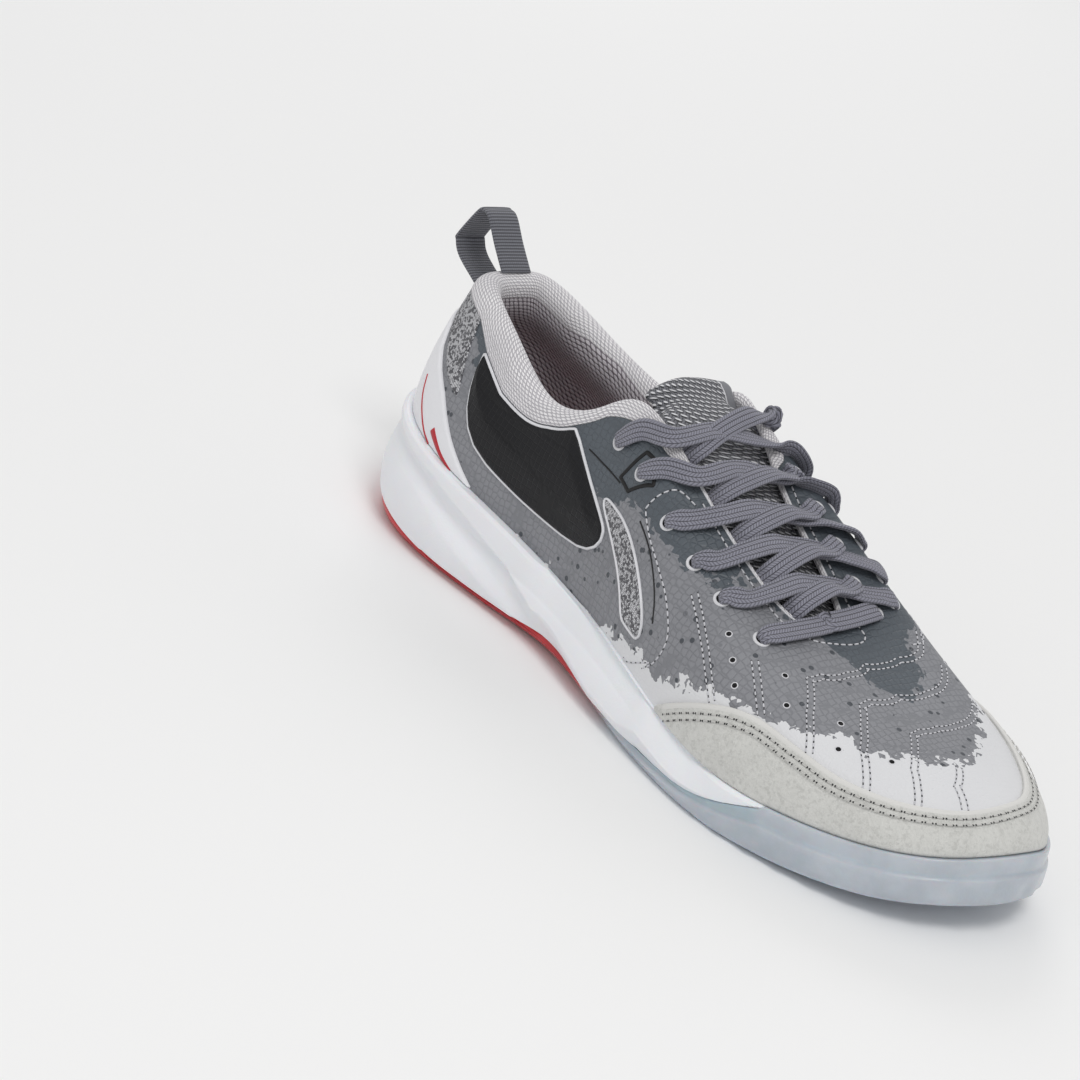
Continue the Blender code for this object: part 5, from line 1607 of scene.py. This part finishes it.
def rubber_finish():
    """translucent rubber: red under heel and arch, clouded pale blue forward of it, a red cloud
    under the forefoot, a bared arch window, and its side painted darker and greyer than the underside
    as shade"""
    f = Finish("clouded_rubber", Subsurface_Weight=0.30, Subsurface_Scale=0.006, Coat_Weight=0.4,
               Coat_Roughness=0.12)
    spot = f.place()
    side = f.field("side")
    x, y = f.split(spot)[:2]
    cloud = f.noise(spot, 45.0, 4.0, 0.6)
    streak = f.noise(f.stretch(spot, (1.0, 0.35, 1.0), (0.0, 0.0, 0.5)), 260.0, 4.0, 0.7)
    clouded = cloud.rise(0.3, 0.7)
    red = (x + (cloud - 0.5) * 0.030).rise(0.026, -0.004)
    pale = f.mix(clouded, srgb(196, 207, 222), srgb(212, 221, 234))
    # painted shade: the rubber's side is darker and greyer than its underside
    shaded_side_tone = f.mix(clouded, srgb(172, 180, 189), srgb(190, 197, 205))
    deep = f.mix(clouded, srgb(190, 24, 36), srgb(214, 48, 54))
    colour = f.mix(red, f.mix(side, pale, shaded_side_tone), deep)
    window = np.array(ARCH_WINDOW) * (LENGTH, BALL_WIDTH) + SHIFT[:2]
    (x0, y0), (x1, y1), (_, y2) = window.tolist()
    share = (x - x0) / (x1 - x0)
    bared = ((y - y0 - share * (y1 - y0)).rise(-0.0002, 0.0002)
             * (share * (y2 - y0) + y0 - y).rise(-0.0002, 0.0002)
             * share.rise(1.0, 0.995) * share.rise(0.0, 0.01) * (1.0 - side))
    a = (x - 0.082) / 0.048
    b = (y + 0.002) / 0.026
    far = (a * a + b * b) ** 0.5 + (cloud - 0.5) * 1.1
    printed = far.rise(1.0, 0.72) * streak.rise(0.40, 0.52)
    colour = f.mix(printed * 0.85, colour, srgb(205, 62, 84))
    colour = f.mix(bared, colour, srgb(238, 239, 243))
    fine = f.noise(spot, 1100.0, 3.0, 0.6)
    f.set(Base_Color=colour, Roughness=0.26 + cloud * 0.14, Normal=f.relief(fine, 0.00015, 0.5))
    return f


def braid_finish():
    """flat braid: five long ribs with dark lines between, crossed by fine slanting strands"""
    f = Finish("lace_braid", Roughness=0.88, Sheen_Weight=0.2)
    light = srgb(147, 147, 160)
    dark = srgb(48, 48, 56)
    x, y = f.split(f.uv())[:2]
    lanes = y / 0.00158
    b = lanes.part("FRACT") - 0.5
    side = (lanes * 0.5).part("FRACT").rise(0.49, 0.51)
    a = ((x / 0.00105 + (side * 2.0 - 1.0) * b * 1.1).part("FRACT") - 0.5).part("ABSOLUTE")
    rib = b.part("ABSOLUTE").rise(0.50, 0.34)
    mound = (a.rise(0.52, 0.16) * 0.55 + 0.45) * rib
    yarn = f.noise(f.place(), 2400.0, 2.0, 0.7)
    tone = f.noise(f.place(), 70.0, 2.0, 0.5)
    colour = f.mix(mound * (0.72 + yarn * 0.5), dark, light)
    colour = f.mix(tone * 0.20, colour, dark)
    f.set(Base_Color=colour, Normal=f.relief(mound + yarn * 0.2, 0.00032, 0.85))
    return f


def webbing_finish():
    """grosgrain: fine ribs across the strap, crossed by warp ends"""
    f = Finish("grosgrain", Roughness=0.85, Sheen_Weight=0.2)
    x, y = f.split(f.uv())[:2]
    rib = ((x / 0.00115).part("FRACT") - 0.5).part("ABSOLUTE")
    warp = ((y / 0.0009).part("FRACT") - 0.5).part("ABSOLUTE")
    mound = rib.rise(0.5, 0.1) * (0.75 + warp.rise(0.5, 0.1) * 0.25)
    yarn = f.noise(f.place(), 2000.0, 2.0, 0.7)
    colour = f.mix(mound * (0.75 + yarn * 0.4), srgb(66, 67, 74), srgb(122, 123, 131))
    f.set(Base_Color=colour, Normal=f.relief(mound + yarn * 0.15, 0.0004, 0.9))
    return f


def plain_finish(name, colour, roughness):
    """thread, rim or piping: one colour with a little variation"""
    f = Finish(name)
    spot = f.place()
    fine = f.noise(spot, 1500.0, 2.0, 0.6)
    slow = f.noise(spot, 120.0, 2.0, 0.5)
    darker = tuple(c * 0.78 for c in colour)
    f.set(Base_Color=f.mix(slow, darker, colour), Roughness=roughness - 0.05 + fine * 0.1,
          Normal=f.relief(fine, 0.0001, 0.5))
    return f


def set_frame(item, right, up, back, place):
    """puts a lamp or the camera at place, with its own three axes given"""
    rows = [(right[k], up[k], back[k], place[k]) for k in range(3)]
    item.matrix_world = Matrix(rows + [(0, 0, 0, 1)])


def build_stage():
    """large pale floor, even white air light and the lamps"""
    size = 9.0
    points = np.array([(-size, -size, 0.0), (size, -size, 0.0), (size, size, 0.0), (-size, size, 0.0)])
    floor = make_piece("studio_floor", points, np.array([[0, 1, 2, 3]]))
    f = Finish("studio_paper", Roughness=0.9)
    tone = f.noise(f.place(), 3.0, 2.0, 0.5)
    f.set(Base_Color=f.mix(tone, (0.895, 0.895, 0.895), (0.905, 0.905, 0.905)))
    floor.data.materials.append(f.material)
    world = bpy.data.worlds.new("studio_air")
    bpy.context.scene.world = world
    world.use_nodes = True
    air = world.node_tree.nodes["Background"].inputs
    air["Color"].default_value = (1.0, 1.0, 1.0, 1.0)
    air["Strength"].default_value = WORLD_LIGHT
    for name, place, aim, size, power, colour in LIGHTS:
        lamp = bpy.data.lights.new(name, "AREA")
        lamp.shape = "DISK"
        lamp.size = size
        lamp.energy = power
        lamp.color = colour
        item = bpy.data.objects.new(name, lamp)
        bpy.context.scene.collection.objects.link(item)
        back = unit(np.array(place) - np.array(aim))
        side = unit(np.cross((0.0, 0.0, 1.0), back))
        set_frame(item, side, np.cross(back, side), back, place)


# Sewn lines on the film, as station and share; a pair is two rows side by side
SINGLE_ROWS = (
    ((0.2958, 0.905), (0.2819, 0.855), (0.2690, 0.755), (0.2583, 0.650), (0.2569, 0.610),
     (0.2625, 0.533), (0.2736, 0.467), (0.2833, 0.408), (0.2905, 0.290), (0.2861, 0.150),
     (0.2780, 0.060)),
    ((0.262, 0.010), (0.268, 0.025), (0.283, 0.120)),
    ((0.300, 0.952), (0.330, 0.945), (0.370, 0.940), (0.410, 0.940), (0.4264, 0.955),
     (0.4400, 0.950), (0.5014, 0.948), (0.5653, 0.917), (0.5850, 0.940), (0.620, 0.960),
     (0.670, 0.965), (0.700, 0.965)),
    ((0.757, 0.660), (0.745, 0.600), (0.722, 0.560), (0.700, 0.545), (0.672, 0.550),
     (0.648, 0.590), (0.630, 0.640), (0.612, 0.730)))
PAIR_ROWS = (
    ((0.3042, 0.592), (0.3111, 0.542), (0.3208, 0.442), (0.3333, 0.267)),
    ((0.3583, 0.625), (0.3611, 0.542), (0.3653, 0.390)),
    ((0.3944, 0.352), (0.3965, 0.470), (0.3986, 0.567), (0.4040, 0.670), (0.4083, 0.758),
     (0.4250, 0.805), (0.4700, 0.850), (0.5181, 0.872), (0.5500, 0.842), (0.5764, 0.808)),
    ((0.6380, 0.640), (0.6100, 0.700), (0.5764, 0.808)),
    ((0.4250, 0.290), (0.4290, 0.410), (0.4333, 0.517), (0.4450, 0.640), (0.4583, 0.733),
     (0.4708, 0.755), (0.5167, 0.767), (0.5597, 0.708)),
    ((0.6167, 0.585), (0.5900, 0.640), (0.5597, 0.708)),
    ((0.4514, 0.275), (0.4570, 0.385), (0.4625, 0.475), (0.4730, 0.560), (0.4847, 0.633),
     (0.4958, 0.648), (0.5200, 0.640), (0.5472, 0.600)),
    ((0.6020, 0.480), (0.5750, 0.540), (0.5472, 0.600)),
    ((0.4750, 0.275), (0.4780, 0.340), (0.4806, 0.400), (0.4944, 0.492)))
PERFORATIONS = ((0.3361, 0.617), (0.3417, 0.525), (0.3458, 0.425), (0.3833, 0.683), (0.3819, 0.533),
                (0.4236, 0.608), (0.4139, 0.458), (0.4500, 0.492), (0.6300, 0.520), (0.6420, 0.440),
                (0.6000, 0.430))
PERFORATION_DISC = ((0.00085, 0.00007), (0.0005, 0.00006), (0.0001, 0.00006))
PERFORATION_RIM = ((0.00082, -0.0003), (0.00084, 0.00010), (0.00100, 0.00014),
                   (0.00118, 0.00003), (0.00118, -0.0003))


# Sizes of the stitches on each kind of line, in metres
SINGLE_THREAD = {"pitch": 0.0025, "length": 0.0019, "width": 0.00064, "dot": 0.00026}
PAIR_THREAD = {"pitch": 0.0020, "length": 0.0014, "width": 0.00058, "dot": 0.00027, "sharp": True}
CAP_THREAD = {"pitch": 0.0031, "length": 0.0019, "width": 0.00050, "dot": 0.00036, "lift": 0.00150}
PAIR_SHIFTS = (-0.00105, 0.00105)
CAP_SHIFTS = (-0.0031, -0.0052)


def build_sewing(name, hole_name, lines):
    """the thread of all the lines as one piece, and their needle holes as another"""
    threads = []
    holes = []
    for rows, shift, sizes in lines:
        thread, pair = sewn(rows, shift=shift, **sizes)
        threads.append(thread)
        holes += pair
    return joined_piece(name, threads), joined_piece(hole_name, holes)


def film_lines():
    """every sewn line on the film with its shift sideways and its stitch sizes"""
    single = [(rows, 0.0, SINGLE_THREAD) for rows in SINGLE_ROWS]
    return single + [(rows, shift, PAIR_THREAD) for rows in PAIR_ROWS for shift in PAIR_SHIFTS]


def cap_lines():
    """two rows below the toe cap's edge strip"""
    line = [row for row in CAP_LINE if 0.300 < row[0] < 0.690]
    return [(line, shift, CAP_THREAD) for shift in CAP_SHIFTS]


def build_cap_strip():
    """smooth folded edge along the top of the toe cap"""
    line = shell_line(CAP_LINE[1:-1], 420)
    part = bead(line, width=0.0024, height=0.00075, lift=0.00085, sides=10, shift=-0.0010)
    return seal(joined_piece("cap_edge_strip", [part]))


def build_perforations():
    """small dark holes with a thin pressed rim"""
    return (pressed_rings("perforations", PERFORATIONS, 18, PERFORATION_DISC),
            pressed_rings("perforation_rims", PERFORATIONS, 18, PERFORATION_RIM, True))


# Dark seam lines pressed into the film
SEAM_LINES = (
    ((0.2056, 0.833), (0.2194, 0.750), (0.2333, 0.675)),
    ((0.2525, 0.560), (0.2640, 0.483), (0.2728, 0.367), (0.2765, 0.255)))
SEAM_LOOP = ((0.2333, 0.700), (0.2542, 0.842), (0.2625, 0.842), (0.2611, 0.742), (0.2403, 0.650))
# Red accents low on the heel panel
THIN_ACCENT = ((0.0560, 0.330), (0.0625, 0.200), (0.0764, 0.060), (0.0850, 0.012))
WIDE_ACCENT = ((0.0850, 0.130), (0.0875, 0.108), (0.0972, 0.042), (0.1080, 0.006))


def build_seam_lines():
    """two open lines and one five-sided loop"""
    parts = [bead(shell_line(rows), width=0.0006, height=0.00022) for rows in SEAM_LINES]
    outline_rows = np.array(SEAM_LOOP + SEAM_LOOP[:1])
    parts.append(bead(even_on_shell(outline_rows, 160), width=0.0014, height=0.00035, closed=True))
    return seal(joined_piece("film_seam_lines", parts))


def build_accents():
    """flat red trims on both sides of the heel panel"""
    parts = []
    for rows, start, end in ((THIN_ACCENT, 0.0010, 0.0010), (WIDE_ACCENT, 0.0031, 0.0010)):
        line = shell_line(rows)
        width = np.linspace(start, end, len(line))
        for way_round, widths in ((line, width), (mirrored(line), width[::-1])):
            parts.append(bead(way_round, widths, height=0.00030, lift=0.00118))
    return seal(joined_piece("heel_accents", parts))


def build_panel_beads():
    """pale piping round the panels and the windows of both sides"""
    parts = []
    for line, width in ((panel_outline(), 0.0012), (window_outline(), 0.0008)):
        for way_round in (line, mirrored(line)):
            parts.append(bead(way_round, width, height=0.0006, lift=0.0002, closed=True))
    return seal(joined_piece("panel_beads", parts))


def build_edge_lines():
    """thin pale piping along the outer side, the front and the inner side of the throat"""
    parts = []
    for start, end, share, count in ((0.292, 0.440, 0.996, 240), (0.440, 0.560, 0.992, 80),
                                     (0.560, 0.712, 0.996, 240)):
        line = np.column_stack([np.linspace(start, end, count), np.full(count, share)])
        parts.append(bead(line, width=0.0007, height=0.0004))
    return seal(joined_piece("throat_piping", parts))


# Lights: name, place, aim, size in metres, power in watts, colour
WORLD_LIGHT = 0.60
LIGHTS = (
    ("key_light", (0.9, -0.5, 1.9), (0.0, 0.0, 0.03), 0.8, 14.0, (1.0, 0.995, 0.985)),
    ("fill_light", (0.1, -1.9, 0.9), (0.0, 0.0, 0.05), 1.4, 2.0, (0.97, 0.985, 1.0)),
    ("rim_light", (-1.4, 1.0, 1.2), (0.0, 0.0, 0.05), 1.0, 6.5, (1.0, 1.0, 1.0)),
)
CAMERA_PLACE = (0.59092, -0.6735, 0.41626)
CAMERA_RIGHT = (0.5966391, 0.75405965, 0.27461942)
CAMERA_UP = (-0.47553446, 0.05654748, 0.87787776)
CAMERA_BACK = (0.64644316, -0.65436719, 0.39231979)


def build_camera():
    """the photo's viewing angle; colours are shown as they are"""
    lens = bpy.data.cameras.new("photo_camera")
    lens.lens = 100.0
    lens.sensor_width = 36.0
    lens.clip_end = 50.0
    item = bpy.data.objects.new("photo_camera", lens)
    bpy.context.scene.collection.objects.link(item)
    set_frame(item, CAMERA_RIGHT, CAMERA_UP, CAMERA_BACK, CAMERA_PLACE)
    bpy.context.scene.camera = item
    bpy.context.scene.view_settings.view_transform = "Standard"


def main():
    """the camera, the stage, the finishes, then every piece in its finish"""
    build_camera()
    build_stage()
    film = film_finish()
    knit = lining_finish()
    suede = suede_finish()
    shell = smooth_finish("heel_shell", srgb(238, 238, 241), srgb(228, 228, 232), 0.42, coat=0.1)
    black = panel_finish()
    white_line = plain_finish("white_bead", srgb(232, 232, 236), 0.42)
    mesh = tongue_finish()
    heel_mesh = flecked_finish()
    lace = braid_finish()
    foam = foam_finish()
    rubber = rubber_finish()
    liner = liner_finish()
    webbing = webbing_finish()
    rim = plain_finish("eyelet_rim", srgb(226, 226, 230), 0.4)
    hole = plain_finish("hole_shade", srgb(26, 27, 30), 0.9)
    thread = plain_finish("white_thread", srgb(214, 214, 219), 0.7)
    cap_thread = plain_finish("pale_thread", srgb(206, 205, 202), 0.8)
    strip = smooth_finish("cap_strip", srgb(222, 221, 218), srgb(209, 208, 205), 0.55)
    seam = plain_finish("dark_seam", srgb(10, 10, 12), 0.6)
    red = smooth_finish("red_trim", srgb(196, 28, 44), srgb(170, 20, 36), 0.4)

    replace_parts(dress(build_upper_film(), film), "upper")
    dress(build_collar_knit(), knit)
    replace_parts(dress(build_toe_cap(), suede), "toe_cap")
    dress(build_cap_strip(), strip)
    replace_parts(dress(build_heel_panel(), shell), "heel_counter")
    dress(build_accents(), red)
    dress(build_heel_knit(), heel_mesh)
    back = PANEL_LOW[0][0] + 0.0004
    front = PANEL_LOW[-1][0] - 0.0002
    for name, span in (("side_panel", (back, front)), ("inner_panel", (1 - front, 1 - back))):
        dress(build_overlay(name, span, panel_low, panel_high, **PANEL_SKIN), black)
    inner_rows = [(share, 1 - front, 1 - back) for share, back, front in WINDOW_ROWS]
    for name, rows in (("side_window", WINDOW_ROWS), ("inner_window", inner_rows)):
        dress(build_window(name, rows), heel_mesh)
    dress(build_panel_beads(), white_line)
    dress(build_edge_lines(), white_line)
    dress(build_seam_lines(), seam)
    stitches, needle_holes = build_sewing("film_stitches", "film_needle_holes", film_lines())
    dress(stitches, thread)
    dress(needle_holes, hole)
    stitches, needle_holes = build_sewing("cap_stitches", "cap_needle_holes", cap_lines())
    dress(stitches, cap_thread)
    dress(needle_holes, hole)
    discs, rims = build_perforations()
    dress(discs, hole)
    dress(rims, rim)

    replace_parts(dress(build_midsole(), foam), "midsole")
    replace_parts(dress(build_outsole(), rubber), "outsole")
    dress(build_tread(), rubber)
    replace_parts(dress(build_insole(), liner), "insole")
    tongue = dress(build_tongue(), mesh)
    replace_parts(tongue, "tongue")
    runs = build_laces()
    for piece in runs:
        dress(piece, lace)
    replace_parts(runs[0], "laces")
    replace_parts(dress(build_pull_loop(), webbing), "pull_loop")
    rims, holes = build_eyelets()
    dress(rims, rim)
    dress(holes, hole)


main()
